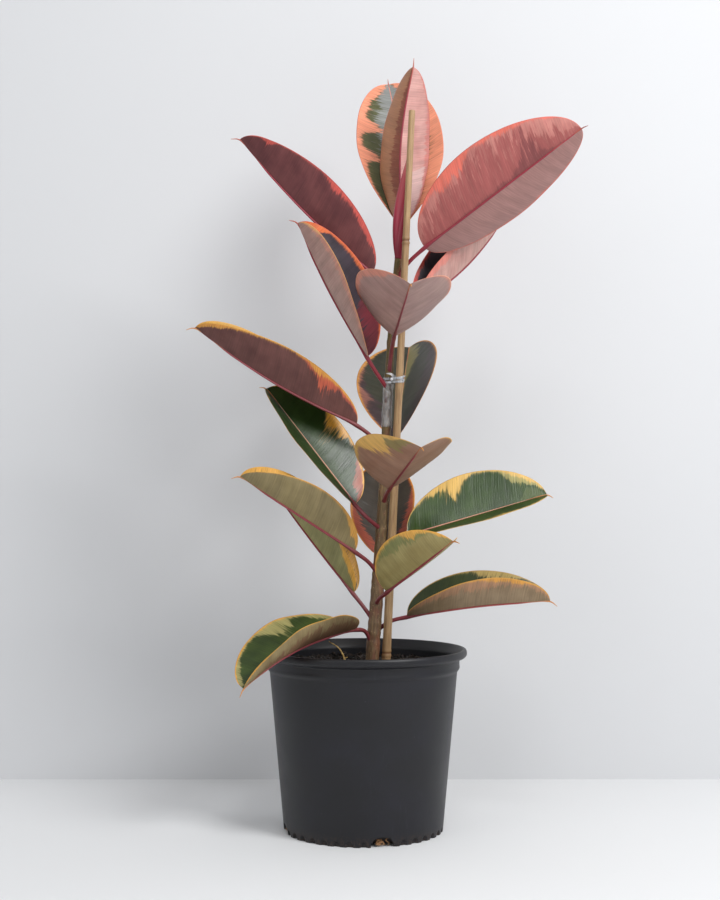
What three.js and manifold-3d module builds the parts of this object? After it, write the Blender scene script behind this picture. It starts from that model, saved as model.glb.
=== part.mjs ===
// A variegated rubber plant (Ficus elastica) standing in a plastic nursery pot.
// Millimetres, +Z up. The origin is the centre of the pot's underside.
// Headings turn in the ground plane from +X towards +Y and pitches rise from it, both in degrees.
import * as THREE from "three";
import { mergeVertices } from "three/addons/utils/BufferGeometryUtils.js";
import Module from "manifold-3d";

const wasm = await Module();
wasm.setup();

// ---------- pot ----------
const POT_HEIGHT = 241;
const POT_BASE_RADIUS = 106.5;
const POT_BODY_TOP_RADIUS = 126;
const POT_BAND_STEP = 3; // the band under the lip stands proud of the body
const POT_LIP_STEP = 10; // and the lip stands proud of the band
const POT_BAND_HEIGHT = 13;
const POT_LIP_HEIGHT = 13;
const POT_LIP_ROLL = 3;
const POT_CHAMFER = 4;
const POT_WALL = 2;
const POT_FLOOR = 3;
const POT_SEGMENTS = 48;

const BAND_TOP = POT_HEIGHT - POT_LIP_HEIGHT;
const BAND_BOTTOM = BAND_TOP - POT_BAND_HEIGHT;
const BODY_TOP = BAND_BOTTOM - POT_CHAMFER;
const BAND_RADIUS = POT_BODY_TOP_RADIUS + POT_BAND_STEP;
const LIP_RADIUS = BAND_RADIUS + POT_LIP_STEP;

const DRAIN_COUNT = 4;
const DRAIN_FIRST_HEADING = -77;
const DRAIN_WIDTH = 30;
const DRAIN_HEIGHT = 13;
const DRAIN_DEPTH = 16;
const DRAIN_STEPS = 8;

// ---------- soil, twig ----------
const SOIL_DEPTH_BELOW_RIM = 20;
const SOIL_LEVEL = POT_HEIGHT - SOIL_DEPTH_BELOW_RIM;
const SEAT_GAP = 0.3; // between pieces that rest on or in each other
const TWIG_RADIUS = 1.4;
const TWIG_STEPS = 8;
const TWIG_RISES = [
  { x: -24, y: -20, rise: 0 },
  { x: -26, y: -20, rise: 9 },
  { x: -33, y: -21, rise: 22 },
  { x: -46, y: -23, rise: 31 },
];

// ---------- stem: centre and radius at each rise above the soil ----------
const STEM_RISES = [
  { x: 9, y: 0, rise: -101, radius: 10 },
  { x: 11, y: 0, rise: -9, radius: 9.6 },
  { x: 18, y: 0, rise: 87, radius: 9 },
  { x: 26, y: 0, rise: 195, radius: 8.6 },
  { x: 31, y: 1, rise: 317, radius: 6.4 },
  { x: 34.5, y: 2, rise: 385, radius: 6 },
  { x: 40, y: 2.5, rise: 469, radius: 5.6 },
  { x: 47, y: 0, rise: 547, radius: 5.2 },
];
const STEM = STEM_RISES.map((p) => ({ ...p, z: SOIL_LEVEL + p.rise }));
const STEM_SIDES = 10;
const STEM_STEPS = 18;
const HALVINGS = 30; // enough to find a height on the stem exactly

// ---------- bamboo stake ----------
const STAKE_FOOT = { x: 27, y: -1, z: SOIL_LEVEL - 71 };
const STAKE_TOP = { x: 65.5, y: -20, z: SOIL_LEVEL + 745 };
const STAKE_FOOT_RADIUS = 6.3;
const STAKE_TOP_RADIUS = 4.6;
const STAKE_SIDES = 10;

// ---------- clear tape that ties the stem to the stake ----------
const TIE_HEIGHT = SOIL_LEVEL + 382;
const TIE_WIDTH = 9;
const TIE_THICKNESS = 1.2;
const TIE_CLEARANCE = 0.9;
const WRAP_LENGTH = 64; // the tape also winds down round the stem
const TIE_CURVE_STEPS = 8;

// ---------- bud sheath at the growing tip ----------
const BUD_LENGTH = 140;
const BUD_WIDTH = 24;
const BUD_FLATNESS = 0.62;
const BUD_FIRST_SHARE = 0.08; // how far round its swelling the bud starts
const BUD_SWELL_POWER = 0.85; // under 1 moves the widest part up
const BUD_STEPS = 9;
const BUD_SIDES = 12;

// ---------- leaves ----------
const DROOP_INSET = 97; // how far inside the rim the leaf that hangs over it starts its blade
const DROOP_NODE_BELOW_RIM = 1;
const LEAF_THICKNESS = 1.6;
const PETIOLE_RADIUS = 2.7;
const MIDRIB_TIP_RADIUS = 0.9;
const DRIP_LENGTH = 12; // the thin point past the end of the blade
const HOOK_START = 0.6; // share of the blade past which a hooked leaf bends down
const PETIOLE_BEND_SHARE = 0.25; // how far back from the blade a petiole starts to turn
const BLADE_STEPS = 18;
const HALF_BLADE_STEPS = 2;
const NARROWEST_SHARE = 0.03; // half-width at the two ends of a blade, as a share of the widest
const VEIN_SIDES = 5;
const PETIOLE_STEPS = 4;
const MIDRIB_STEPS = 6;
const MIDRIB_POINTS = 4;

// node: height on the stem, above the soil. petiole, blade: the way each points, with its length.
// folds: how far the two halves rise from flat, the one at -across first. curl: how much more they bend up.
// roll: turn about the blade's length. twist: turn from base to tip. hook: fall of the tip.
// arch, bow: rise and sideways bend of the midrib. drip: how far the end point bends down.
// peak: where the blade is widest. base: roundness of the base.
// across: heading of the blade's width, level and square to the blade where it isn't given.
const aim = (heading, pitch, length) => ({ heading, pitch, length });
const USUAL = {
  roll: 0,
  curl: 15,
  arch: 0,
  bow: 0,
  twist: 0,
  hook: 0,
  drip: 45,
  peak: 0.5,
  base: 0.47,
};
const TIP_ROUNDNESS = 0.47;
const MOST_INSET = 0.8; // at a narrow folded end, how far the upper side may move in towards the midrib
const NUDGE = 0.01; // a small step along or across a blade
const LEAVES = [
  {
    name: "top_front", node: 514, petiole: aim(58, 77, 81), blade: aim(345, 86, 222), width: 106,
    folds: [32, 52], across: 180, bow: 10, drip: 0, base: 0.8,
  },
  {
    name: "top_back", node: 494, petiole: aim(73, 69, 107), blade: aim(99, 66, 256), width: 128,
    folds: [10, 10], curl: 12, across: 0, bow: 8, drip: 10, peak: 0.56, base: 0.8,
  },
  {
    name: "upper_left", node: 489, petiole: aim(207, 47, 50), blade: aim(196, 43, 248), width: 112,
    folds: [55, 58], arch: -6, twist: -45,
  },
  {
    name: "upper_right", node: 519, petiole: aim(343, 46, 58), blade: aim(345, 35, 258), width: 142,
    roll: -60, folds: [31, 8], peak: 0.47,
  },
  {
    name: "left_folded", node: 369, petiole: aim(212, 52, 55), blade: aim(203, 60, 200), width: 114,
    roll: -25, folds: [18, 66], curl: 20, arch: -4, twist: 30,
  },
  {
    name: "right_back", node: 474, petiole: aim(36, 20, 42), blade: aim(33, 42, 222), width: 110,
    roll: 12, folds: [55, 60], curl: 20, arch: -14,
  },
  {
    name: "front_cup", node: 389, petiole: aim(278, 48, 64), blade: aim(277, 20, 146), width: 150,
    folds: [21, 32],
  },
  {
    name: "left_long", node: 279, petiole: aim(205, 44, 60), blade: aim(192, 30, 250), width: 102,
    folds: [58, 56], arch: -8, twist: -45,
  },
  {
    name: "back_middle", node: 269, petiole: aim(60, 48, 45), blade: aim(80, 46, 196), width: 136,
    folds: [5, 34], peak: 0.58, base: 0.6,
  },
  {
    name: "left_green", node: 179, petiole: aim(210, 40, 55), blade: aim(170, 52, 198), width: 116,
    roll: -30, folds: [20, 18],
  },
  {
    name: "front_middle", node: 214, petiole: aim(281, 28, 42), blade: aim(285, 20, 150), width: 142,
    folds: [20, 24],
  },
  {
    name: "back_lower", node: 109, petiole: aim(80, 48, 43), blade: aim(86, 55, 158), width: 98,
    folds: [15, 15], base: 0.6,
  },
  {
    name: "right_green", node: 154, petiole: aim(8, 25, 42), blade: aim(7, 16, 200), width: 124,
    roll: 30, folds: [34, 20], curl: 10,
  },
  {
    name: "left_grey", node: 119, petiole: aim(213, 40, 50), blade: aim(200, 32, 187), width: 96,
    folds: [52, 56], twist: -40,
  },
  {
    name: "left_behind", node: 54, petiole: aim(168, 53, 50), blade: aim(158, 50, 204), width: 96,
    folds: [60, 40], curl: 10, arch: -2,
  },
  {
    name: "front_low", node: 79, petiole: aim(289, 25, 46), blade: aim(315, 31, 135), width: 112,
    folds: [10, 35], curl: 25,
  },
  {
    name: "right_low", node: 41, petiole: aim(6, 25, 50), blade: aim(349, 7, 193), width: 100,
    roll: 12, folds: [50, 50], arch: 4, twist: -35,
  },
  {
    name: "left_drooping", node: SOIL_DEPTH_BELOW_RIM - DROOP_NODE_BELOW_RIM,
    petiole: aim(222, 42, LIP_RADIUS - DROOP_INSET),
    blade: aim(225, -16, 204), width: 114,
    roll: -3, folds: [38, 24], arch: 11, twist: 8, hook: 4,
  },
];

// ---------- small helpers ----------
const radians = THREE.MathUtils.degToRad;
const lerp = THREE.MathUtils.lerp;
const UP = new THREE.Vector3(0, 0, 1);

function pointing(heading, pitch) {
  const h = radians(heading);
  const p = radians(pitch);
  return new THREE.Vector3(Math.cos(h) * Math.cos(p), Math.sin(h) * Math.cos(p), Math.sin(p));
}

function solidOf(geometry) {
  const bare = geometry.clone();
  bare.deleteAttribute("normal");
  bare.deleteAttribute("uv");
  const merged = mergeVertices(bare, 1e-4);
  return new wasm.Manifold(
    new wasm.Mesh({
      numProp: 3,
      vertProperties: Float32Array.from(merged.attributes.position.array),
      triVerts: Uint32Array.from(merged.index.array),
    }),
  );
}

function geometryOf(solid) {
  const mesh = solid.getMesh();
  const geometry = new THREE.BufferGeometry();
  geometry.setAttribute("position", new THREE.BufferAttribute(mesh.vertProperties, 3));
  geometry.setIndex(new THREE.BufferAttribute(mesh.triVerts, 1));
  geometry.computeVertexNormals();
  return geometry;
}

// A capped tube along a curve whose radius is a function of how far along it is.
function taperedTube(curve, radiusAt, sides, steps) {
  const tube = new THREE.CylinderGeometry(1, 1, 1, sides, steps);
  const frames = curve.computeFrenetFrames(steps, false);
  const places = tube.attributes.position;
  const at = new THREE.Vector3();
  for (let i = 0; i < places.count; i++) {
    const step = Math.round((places.getY(i) + 0.5) * steps);
    const along = step / steps;
    const radius = radiusAt(along);
    curve.getPointAt(along, at);
    at.addScaledVector(frames.normals[step], places.getZ(i) * radius);
    at.addScaledVector(frames.binormals[step], places.getX(i) * radius);
    places.setXYZ(i, at.x, at.y, at.z);
  }
  return tube;
}

// A lathe profile of [radius, height] pairs, turned about Z.
function turned(profile, segments) {
  const points = profile.map(([radius, height]) => new THREE.Vector2(radius, height));
  return new THREE.LatheGeometry(points, segments).rotateX(Math.PI / 2);
}

// ---------- pot ----------
// Radius of the inside wall at a height, less an extra gap.
function insideRadius(height, gap = 0) {
  const body = lerp(POT_BASE_RADIUS, POT_BODY_TOP_RADIUS, Math.min(height / BODY_TOP, 1));
  const step = POT_BAND_STEP * THREE.MathUtils.clamp((height - BODY_TOP) / POT_CHAMFER, 0, 1);
  return body + step - POT_WALL - gap;
}

function potProfile() {
  return [
    [0, 0],
    [POT_BASE_RADIUS, 0],
    [POT_BODY_TOP_RADIUS, BODY_TOP],
    [BAND_RADIUS, BAND_BOTTOM],
    [BAND_RADIUS, BAND_TOP],
    [LIP_RADIUS - POT_LIP_ROLL, BAND_TOP + POT_WALL],
    [LIP_RADIUS, BAND_TOP + POT_WALL + POT_LIP_ROLL],
    [LIP_RADIUS, POT_HEIGHT - POT_LIP_ROLL],
    [LIP_RADIUS - POT_LIP_ROLL / 2, POT_HEIGHT],
    [LIP_RADIUS - POT_LIP_STEP / 2, POT_HEIGHT],
    [insideRadius(BAND_TOP) + POT_WALL / 2, BAND_TOP + POT_LIP_ROLL],
    [insideRadius(BAND_TOP), BAND_TOP],
    [insideRadius(BAND_BOTTOM), BAND_BOTTOM],
    [insideRadius(BODY_TOP), BODY_TOP],
    [insideRadius(POT_FLOOR), POT_FLOOR],
    [0, POT_FLOOR],
  ];
}

// An arched opening through the foot of the wall.
function drainCutter(heading) {
  const half = DRAIN_WIDTH / 2;
  const arch = new THREE.Shape();
  arch.moveTo(-half, -1);
  arch.lineTo(half, -1);
  arch.lineTo(half, 0);
  arch.absellipse(0, 0, half, DRAIN_HEIGHT, 0, Math.PI, false);
  arch.lineTo(-half, -1);
  const settings = { depth: DRAIN_DEPTH, bevelEnabled: false, curveSegments: DRAIN_STEPS };
  const cutter = new THREE.ExtrudeGeometry(arch, settings);
  cutter.translate(0, 0, POT_BASE_RADIUS - DRAIN_DEPTH / 2);
  cutter.rotateX(Math.PI / 2);
  cutter.rotateZ(Math.PI / 2 + radians(heading));
  return solidOf(cutter);
}

function makePot() {
  let pot = solidOf(turned(potProfile(), POT_SEGMENTS));
  for (let i = 0; i < DRAIN_COUNT; i++) {
    pot = pot.subtract(drainCutter(DRAIN_FIRST_HEADING + (360 / DRAIN_COUNT) * i));
  }
  return pot;
}

// ---------- stem, stake, soil, twig ----------
const stemCurve = new THREE.CatmullRomCurve3(STEM.map((p) => new THREE.Vector3(p.x, p.y, p.z)));

function stemRadius(height) {
  const above = STEM.findIndex((p) => p.z >= height);
  if (above <= 0) {
    return above === 0 ? STEM[0].radius : STEM[STEM.length - 1].radius;
  }
  const low = STEM[above - 1];
  const high = STEM[above];
  return lerp(low.radius, high.radius, (height - low.z) / (high.z - low.z));
}

function stemCentre(height) {
  let low = 0;
  let high = 1;
  for (let i = 0; i < HALVINGS; i++) {
    const middle = (low + high) / 2;
    if (stemCurve.getPointAt(middle).z < height) {
      low = middle;
    } else {
      high = middle;
    }
  }
  return stemCurve.getPointAt(low);
}

function makeStem(gap = 0) {
  const radiusAt = (along) => stemRadius(stemCurve.getPointAt(along).z) + gap;
  return solidOf(taperedTube(stemCurve, radiusAt, STEM_SIDES, STEM_STEPS));
}

const stakeFoot = new THREE.Vector3(STAKE_FOOT.x, STAKE_FOOT.y, STAKE_FOOT.z);
const stakeTop = new THREE.Vector3(STAKE_TOP.x, STAKE_TOP.y, STAKE_TOP.z);

function makeStake(gap = 0) {
  const line = new THREE.LineCurve3(stakeFoot, stakeTop);
  const radiusAt = (along) => lerp(STAKE_FOOT_RADIUS, STAKE_TOP_RADIUS, along) + gap;
  return solidOf(taperedTube(line, radiusAt, STAKE_SIDES, 1));
}

function makeSoil() {
  const low = POT_FLOOR + SEAT_GAP;
  const profile = [
    [0, low],
    [insideRadius(low, SEAT_GAP), low],
    [insideRadius(BODY_TOP, SEAT_GAP), BODY_TOP],
    [insideRadius(BAND_BOTTOM, SEAT_GAP), BAND_BOTTOM + SEAT_GAP],
    [insideRadius(SOIL_LEVEL, SEAT_GAP), SOIL_LEVEL],
    [0, SOIL_LEVEL],
  ];
  return solidOf(turned(profile, POT_SEGMENTS)).subtract(makeStem(SEAT_GAP)).subtract(makeStake(SEAT_GAP));
}

function makeTwig() {
  const foot = SOIL_LEVEL + SEAT_GAP;
  const points = TWIG_RISES.map((p) => new THREE.Vector3(p.x, p.y, foot + p.rise));
  return solidOf(taperedTube(new THREE.CatmullRomCurve3(points), () => TWIG_RADIUS, VEIN_SIDES, TWIG_STEPS));
}

// ---------- bud sheath ----------
function makeBud() {
  const foot = stemRadius(STEM[STEM.length - 1].z);
  const profile = [[0, 0]];
  for (let i = 0; i < BUD_STEPS; i++) {
    const along = i / BUD_STEPS;
    const phase = Math.pow(lerp(BUD_FIRST_SHARE, 1, along), BUD_SWELL_POWER);
    const swell = (BUD_WIDTH / 2) * Math.sin(Math.PI * phase);
    profile.push([Math.max(swell, foot * (1 - along)), BUD_LENGTH * along]);
  }
  profile.push([0, BUD_LENGTH]);
  const bud = turned(profile, BUD_SIDES);
  bud.scale(1, BUD_FLATNESS, 1);
  const lean = stemCurve.getTangentAt(1);
  bud.applyQuaternion(new THREE.Quaternion().setFromUnitVectors(UP, lean));
  const seat = stemCurve.getPointAt(1).addScaledVector(lean, SEAT_GAP);
  bud.translate(seat.x, seat.y, seat.z);
  return solidOf(bud);
}

// ---------- leaves ----------
// Where a blade starts and its three directions: along the midrib, across it and out of the upper side.
function leafFrame(leaf) {
  const start = stemCentre(SOIL_LEVEL + leaf.node);
  const leaving = pointing(leaf.petiole.heading, leaf.petiole.pitch);
  const base = start.clone().addScaledVector(leaving, leaf.petiole.length);
  const along = pointing(leaf.blade.heading, leaf.blade.pitch);
  const across = new THREE.Vector3();
  if (leaf.across === undefined) {
    across.crossVectors(along, UP);
  } else {
    across.copy(pointing(leaf.across, 0));
    across.addScaledVector(along, -across.dot(along));
  }
  across.normalize();
  const upper = new THREE.Vector3().crossVectors(across, along);
  across.applyAxisAngle(along, radians(leaf.roll));
  upper.applyAxisAngle(along, radians(leaf.roll));
  return { start, leaving, base, along, across, upper };
}

function midribPoint(leaf, frame, u) {
  const hump = Math.sin(Math.PI * u);
  const hooked = leaf.hook * Math.pow(Math.max(u - HOOK_START, 0) / (1 - HOOK_START), 2);
  return frame.base
    .clone()
    .addScaledVector(frame.along, u * leaf.blade.length)
    .addScaledVector(frame.upper, leaf.arch * hump - hooked)
    .addScaledVector(frame.across, leaf.bow * hump);
}

function halfWidth(leaf, u) {
  const bend = Math.log(0.5) / Math.log(leaf.peak);
  const roundness = lerp(leaf.base, TIP_ROUNDNESS, Math.min(u / leaf.peak, 1));
  const share = Math.pow(Math.max(Math.sin(Math.PI * Math.pow(u, bend)), 0), roundness);
  return (leaf.width / 2) * Math.max(share, NARROWEST_SHARE);
}

// A point of the blade: u runs from base to tip, v from -1 to 1 across it, and lift is out of the upper side.
function bladePoint(leaf, frame, u, v, lift) {
  const ahead = midribPoint(leaf, frame, Math.min(u + NUDGE, 1));
  const tangent = ahead.sub(midribPoint(leaf, frame, Math.max(u - NUDGE, 0))).normalize();
  const upper = frame.upper.clone().applyAxisAngle(frame.along, radians(leaf.twist * (u - 0.5)));
  upper.addScaledVector(tangent, -upper.dot(tangent)).normalize();
  const across = new THREE.Vector3().crossVectors(tangent, upper);
  const side = v < 0 ? -1 : 1;
  const fold = radians(leaf.folds[v < 0 ? 0 : 1]);
  const curl = radians(leaf.curl);
  const reach = Math.abs(v);
  const turn = fold + curl * reach;
  const out = (Math.sin(turn) - Math.sin(fold)) / curl;
  const rise = (Math.cos(fold) - Math.cos(turn)) / curl;
  const width = halfWidth(leaf, u);
  const tilt = reach < NUDGE ? 0 : turn;
  const inset = Math.min(Math.sin(tilt) * lift, MOST_INSET * out * width);
  return midribPoint(leaf, frame, u)
    .addScaledVector(across, side * (out * width - inset))
    .addScaledVector(upper, rise * width + Math.cos(tilt) * lift);
}

function makeBlade(leaf, frame) {
  const blade = new THREE.BoxGeometry(1, 1, 1, BLADE_STEPS, 2 * HALF_BLADE_STEPS, 1);
  const places = blade.attributes.position;
  for (let i = 0; i < places.count; i++) {
    const u = (1 - Math.cos(Math.PI * (places.getX(i) + 0.5))) / 2;
    const at = bladePoint(leaf, frame, u, -2 * places.getY(i), places.getZ(i) * LEAF_THICKNESS);
    places.setXYZ(i, at.x, at.y, at.z);
  }
  return solidOf(blade);
}

// The petiole, which runs on as the midrib under the blade and ends in the drip tip.
function veinCurve(leaf, frame) {
  const points = [frame.start];
  const setBack = -leaf.petiole.length * PETIOLE_BEND_SHARE;
  const turning = frame.base.clone().addScaledVector(frame.along, setBack);
  points.push(turning.addScaledVector(frame.leaving, setBack));
  for (let i = 0; i <= MIDRIB_POINTS; i++) {
    const below = midribPoint(leaf, frame, i / MIDRIB_POINTS);
    points.push(below.addScaledVector(frame.upper, -LEAF_THICKNESS / 2));
  }
  const bent = radians(leaf.drip);
  const drip = frame.along.clone().multiplyScalar(Math.cos(bent));
  drip.addScaledVector(frame.upper, -Math.sin(bent));
  points.push(midribPoint(leaf, frame, 1).addScaledVector(drip, DRIP_LENGTH));
  return new THREE.CatmullRomCurve3(points);
}

function makeVein(leaf, frame, gap = 0) {
  const curve = veinCurve(leaf, frame);
  const petioleShare = leaf.petiole.length / curve.getLength();
  const radiusAt = (along) => {
    const past = Math.max(along - petioleShare, 0) / (1 - petioleShare);
    return lerp(PETIOLE_RADIUS, MIDRIB_TIP_RADIUS, past) + gap;
  };
  return solidOf(taperedTube(curve, radiusAt, VEIN_SIDES, PETIOLE_STEPS + MIDRIB_STEPS));
}

function makeLeaf(leaf) {
  const frame = leafFrame(leaf);
  const whole = makeBlade(leaf, frame).add(makeVein(leaf, frame));
  return whole.subtract(makeStem(SEAT_GAP)).subtract(makeStake(SEAT_GAP));
}

// ---------- tie ----------
// The outline of a taut loop round two circles.
function loopRound(first, second, margin) {
  const gap = second.centre.clone().sub(first.centre);
  const spread = Math.acos((first.radius - second.radius) / gap.length());
  const facing = gap.angle();
  const loop = new THREE.Shape();
  const start = facing + spread;
  const end = facing - spread;
  loop.absarc(first.centre.x, first.centre.y, first.radius + margin, start, end + 2 * Math.PI);
  loop.absarc(second.centre.x, second.centre.y, second.radius + margin, end, start);
  loop.closePath();
  return loop;
}

function makeTie(crossingLeaf) {
  const stemAt = stemCentre(TIE_HEIGHT);
  const along = (TIE_HEIGHT - stakeFoot.z) / (stakeTop.z - stakeFoot.z);
  const stakeAt = stakeFoot.clone().lerp(stakeTop, along);
  const stem = { centre: new THREE.Vector2(stemAt.x, stemAt.y), radius: stemRadius(TIE_HEIGHT) };
  const stakeRadius = lerp(STAKE_FOOT_RADIUS, STAKE_TOP_RADIUS, along);
  const stake = { centre: new THREE.Vector2(stakeAt.x, stakeAt.y), radius: stakeRadius };
  const outline = loopRound(stem, stake, TIE_CLEARANCE + TIE_THICKNESS);
  outline.holes.push(loopRound(stem, stake, TIE_CLEARANCE));
  const settings = { depth: TIE_WIDTH, bevelEnabled: false, curveSegments: TIE_CURVE_STEPS };
  const band = new THREE.ExtrudeGeometry(outline, settings);
  band.translate(0, 0, TIE_HEIGHT - TIE_WIDTH / 2);
  const wrapped = new THREE.LineCurve3(stemCentre(TIE_HEIGHT - WRAP_LENGTH), stemCentre(TIE_HEIGHT));
  const lowRadius = stemRadius(TIE_HEIGHT - WRAP_LENGTH) + TIE_CLEARANCE + TIE_THICKNESS;
  const highRadius = stem.radius + TIE_CLEARANCE + TIE_THICKNESS;
  const wrap = taperedTube(wrapped, (share) => lerp(lowRadius, highRadius, share), STEM_SIDES, 1);
  return solidOf(wrap)
    .add(solidOf(band))
    .subtract(makeStem(SEAT_GAP))
    .subtract(makeStake(SEAT_GAP))
    .subtract(makeVein(crossingLeaf, leafFrame(crossingLeaf), SEAT_GAP));
}

// ---------- assembly ----------
const plant = new THREE.Group();

function place(name, solid, color, roughness) {
  const material = new THREE.MeshStandardMaterial({ color, roughness, metalness: 0 });
  const mesh = new THREE.Mesh(geometryOf(solid), material);
  mesh.name = name;
  plant.add(mesh);
}

place("nursery_pot", makePot(), 0x34333a, 0.45);
place("potting_soil", makeSoil(), 0x2a1f18, 0.95);
place("stem", makeStem(), 0x4f3a2b, 0.7);
place("bamboo_stake", makeStake(), 0xc9a477, 0.6);
place("bud_sheath", makeBud(), 0xa3333f, 0.45);
place("dry_twig", makeTwig(), 0xb39a6a, 0.8);

const leaves = LEAVES.map((leaf) => ({ ...USUAL, ...leaf }));
place("tie_tape", makeTie(leaves.find((leaf) => leaf.name === "left_folded")), 0xd8dce0, 0.2);
for (const leaf of leaves) {
  place("leaf_" + leaf.name, makeLeaf(leaf), 0x5c6b3c, 0.35);
}

export default plant;
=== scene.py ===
import math
import random

import bpy
import numpy as np
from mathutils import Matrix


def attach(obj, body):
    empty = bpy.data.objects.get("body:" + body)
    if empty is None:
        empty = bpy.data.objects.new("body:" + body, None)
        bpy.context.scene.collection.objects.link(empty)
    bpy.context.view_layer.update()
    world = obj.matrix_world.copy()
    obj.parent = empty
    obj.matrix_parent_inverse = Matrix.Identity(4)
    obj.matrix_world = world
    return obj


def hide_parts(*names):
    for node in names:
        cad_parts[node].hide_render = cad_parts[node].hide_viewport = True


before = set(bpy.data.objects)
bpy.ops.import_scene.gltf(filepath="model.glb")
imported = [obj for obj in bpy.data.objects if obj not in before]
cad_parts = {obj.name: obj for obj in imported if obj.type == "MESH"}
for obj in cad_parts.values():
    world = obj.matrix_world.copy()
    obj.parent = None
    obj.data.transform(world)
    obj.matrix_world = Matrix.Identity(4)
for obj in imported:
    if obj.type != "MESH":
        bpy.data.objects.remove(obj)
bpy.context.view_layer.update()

MM = 0.001
UP = np.array([0.0, 0.0, 1.0])

# ---------- the sizes that the CAD model has ----------
POT_HEIGHT = 241
POT_BASE_RADIUS = 106.5
POT_BODY_TOP_RADIUS = 126
POT_BAND_STEP = 3
POT_LIP_STEP = 10
POT_BAND_HEIGHT = 13
POT_LIP_HEIGHT = 13
POT_CHAMFER = 4
POT_WALL = 2
DRAIN_COUNT = 4
DRAIN_FIRST_HEADING = -77
DRAIN_WIDTH = 30
DRAIN_HEIGHT = 13
BAND_TOP = POT_HEIGHT - POT_LIP_HEIGHT
BAND_BOTTOM = BAND_TOP - POT_BAND_HEIGHT
BODY_TOP = BAND_BOTTOM - POT_CHAMFER
BAND_RADIUS = POT_BODY_TOP_RADIUS + POT_BAND_STEP
LIP_RADIUS = BAND_RADIUS + POT_LIP_STEP
SOIL_LEVEL = 221
SEAT_GAP = 0.3
STEM = [
    (9, 0, 120, 10), (11, 0, 212, 9.6), (18, 0, 308, 9), (26, 0, 416, 8.6),
    (31, 1, 538, 6.4), (34.5, 2, 606, 6), (40, 2.5, 690, 5.6), (47, 0, 768, 5.2),
]
STAKE_FOOT = (27, -1, 150)
STAKE_TOP = (65.5, -20, 966)
STAKE_RADII = (6.3, 4.6)
TIE_HEIGHT = 603
WRAP_LENGTH = 64
BUD_LENGTH = 140
BUD_WIDTH = 24
BUD_FLATNESS = 0.62
TWIG = [(-24, -20, 221.3), (-26, -20, 230.3), (-33, -21, 243.3), (-46, -23, 252.3)]
TWIG_RADIUS = 1.4
PETIOLE_RADIUS = 2.7
DRIP_LENGTH = 12
TIP_ROUNDNESS = 0.47

# ---------- finer sizes that only the detailed model has ----------
LEAF_SKIN = 1.1
LEAF_STATIONS = 110
LEAF_HALF_STATIONS = (
    0, 0.02, 0.05, 0.1, 0.17, 0.25, 0.34, 0.43, 0.52, 0.61, 0.7, 0.78, 0.85, 0.91, 0.95, 0.98, 1,
)
LEAF_WAVE = 1.6
WAVE_COUNT = 6
VEIN_SIDES = 14
SIDE_VEIN_SPACING = 3.4
RIB_LEAN = 0.2
NUDGE = 0.01
SCALLOPS = 38
SCALLOP_HEIGHT = 7.5
SCALLOP_DEPTH = 3.2
POT_SEGMENTS = SCALLOPS * 12


# ---------- vectors, lines and meshes ----------
def unit(v):
    v = np.asarray(v, float)
    return v / np.linalg.norm(v, axis=-1, keepdims=True)


def pointing(heading, pitch):
    h, p = math.radians(heading), math.radians(pitch)
    return np.array([math.cos(h) * math.cos(p), math.sin(h) * math.cos(p), math.sin(p)])


def turned_about(v, axis, angle):
    """v turned about a unit axis by an angle in radians, which may be an array of one column."""
    cos, sin = np.cos(angle), np.sin(angle)
    along = v @ axis if v.ndim == 1 else (v @ axis)[..., None]
    return v * cos + np.cross(axis, v) * sin + axis * along * (1 - cos)


def smooth_line(points, count):
    """Evenly spaced points on a centripetal Catmull-Rom curve."""
    p = np.array(points, float)
    p = np.vstack([2 * p[0] - p[1], p, 2 * p[-1] - p[-2]])
    t = np.linspace(0, 1, 40, endpoint=False)[:, None]
    spans = []
    for a, b, c, d in zip(p, p[1:], p[2:], p[3:]):
        g0, g1, g2 = (max(np.linalg.norm(y - x), 1e-6) ** 0.5 for x, y in ((a, b), (b, c), (c, d)))
        m1 = ((b - a) / g0 - (c - a) / (g0 + g1) + (c - b) / g1) * g1
        m2 = ((c - b) / g1 - (d - b) / (g1 + g2) + (d - c) / g2) * g1
        spans.append(b + m1 * t + (3 * (c - b) - 2 * m1 - m2) * t**2 + (2 * (b - c) + m1 + m2) * t**3)
    line = np.vstack([*spans, p[-2][None]])
    far = line_lengths(line)
    at = np.linspace(0, far[-1], count)
    return np.column_stack([np.interp(at, far, line[:, k]) for k in range(3)])


class Shape:
    """Vertices in millimetres, faces with a material number each, and two vectors a vertex."""

    def __init__(self):
        self.vertices, self.faces, self.slots = [], [], []
        self.values = {"place": [], "share": []}
        self.count = 0

    def add(self, vertices, faces, slot=0, place=None, share=None):
        vertices = np.asarray(vertices, float).reshape(-1, 3)
        self.faces += [tuple(int(i) + self.count for i in face) for face in faces]
        self.slots += [slot] * len(faces) if np.isscalar(slot) else list(slot)
        for label, given in (("place", place), ("share", share)):
            self.values[label].append(np.zeros_like(vertices) if given is None else given)
        self.vertices.append(vertices)
        self.count += len(vertices)

    def add_tube(self, line, radii, sides, slot=0, placed=False):
        vertices, faces = tube(line, radii, sides)
        self.add(vertices, faces, slot, tube_place(line, sides) if placed else None)

    def make(self, name, materials, smooth=True):
        mesh = bpy.data.meshes.new(name)
        mesh.from_pydata((np.vstack(self.vertices) * MM).tolist(), [], self.faces)
        for material in materials:
            mesh.materials.append(material)
        mesh.polygons.foreach_set("material_index", self.slots)
        mesh.polygons.foreach_set("use_smooth", [smooth] * len(self.faces))
        for label, held in self.values.items():
            data = np.vstack(held).astype(np.float32)
            mesh.attributes.new(label, "FLOAT_VECTOR", "POINT").data.foreach_set("vector", data.ravel())
        mesh.validate()
        piece = bpy.data.objects.new(name, mesh)
        bpy.context.scene.collection.objects.link(piece)
        return piece


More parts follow.
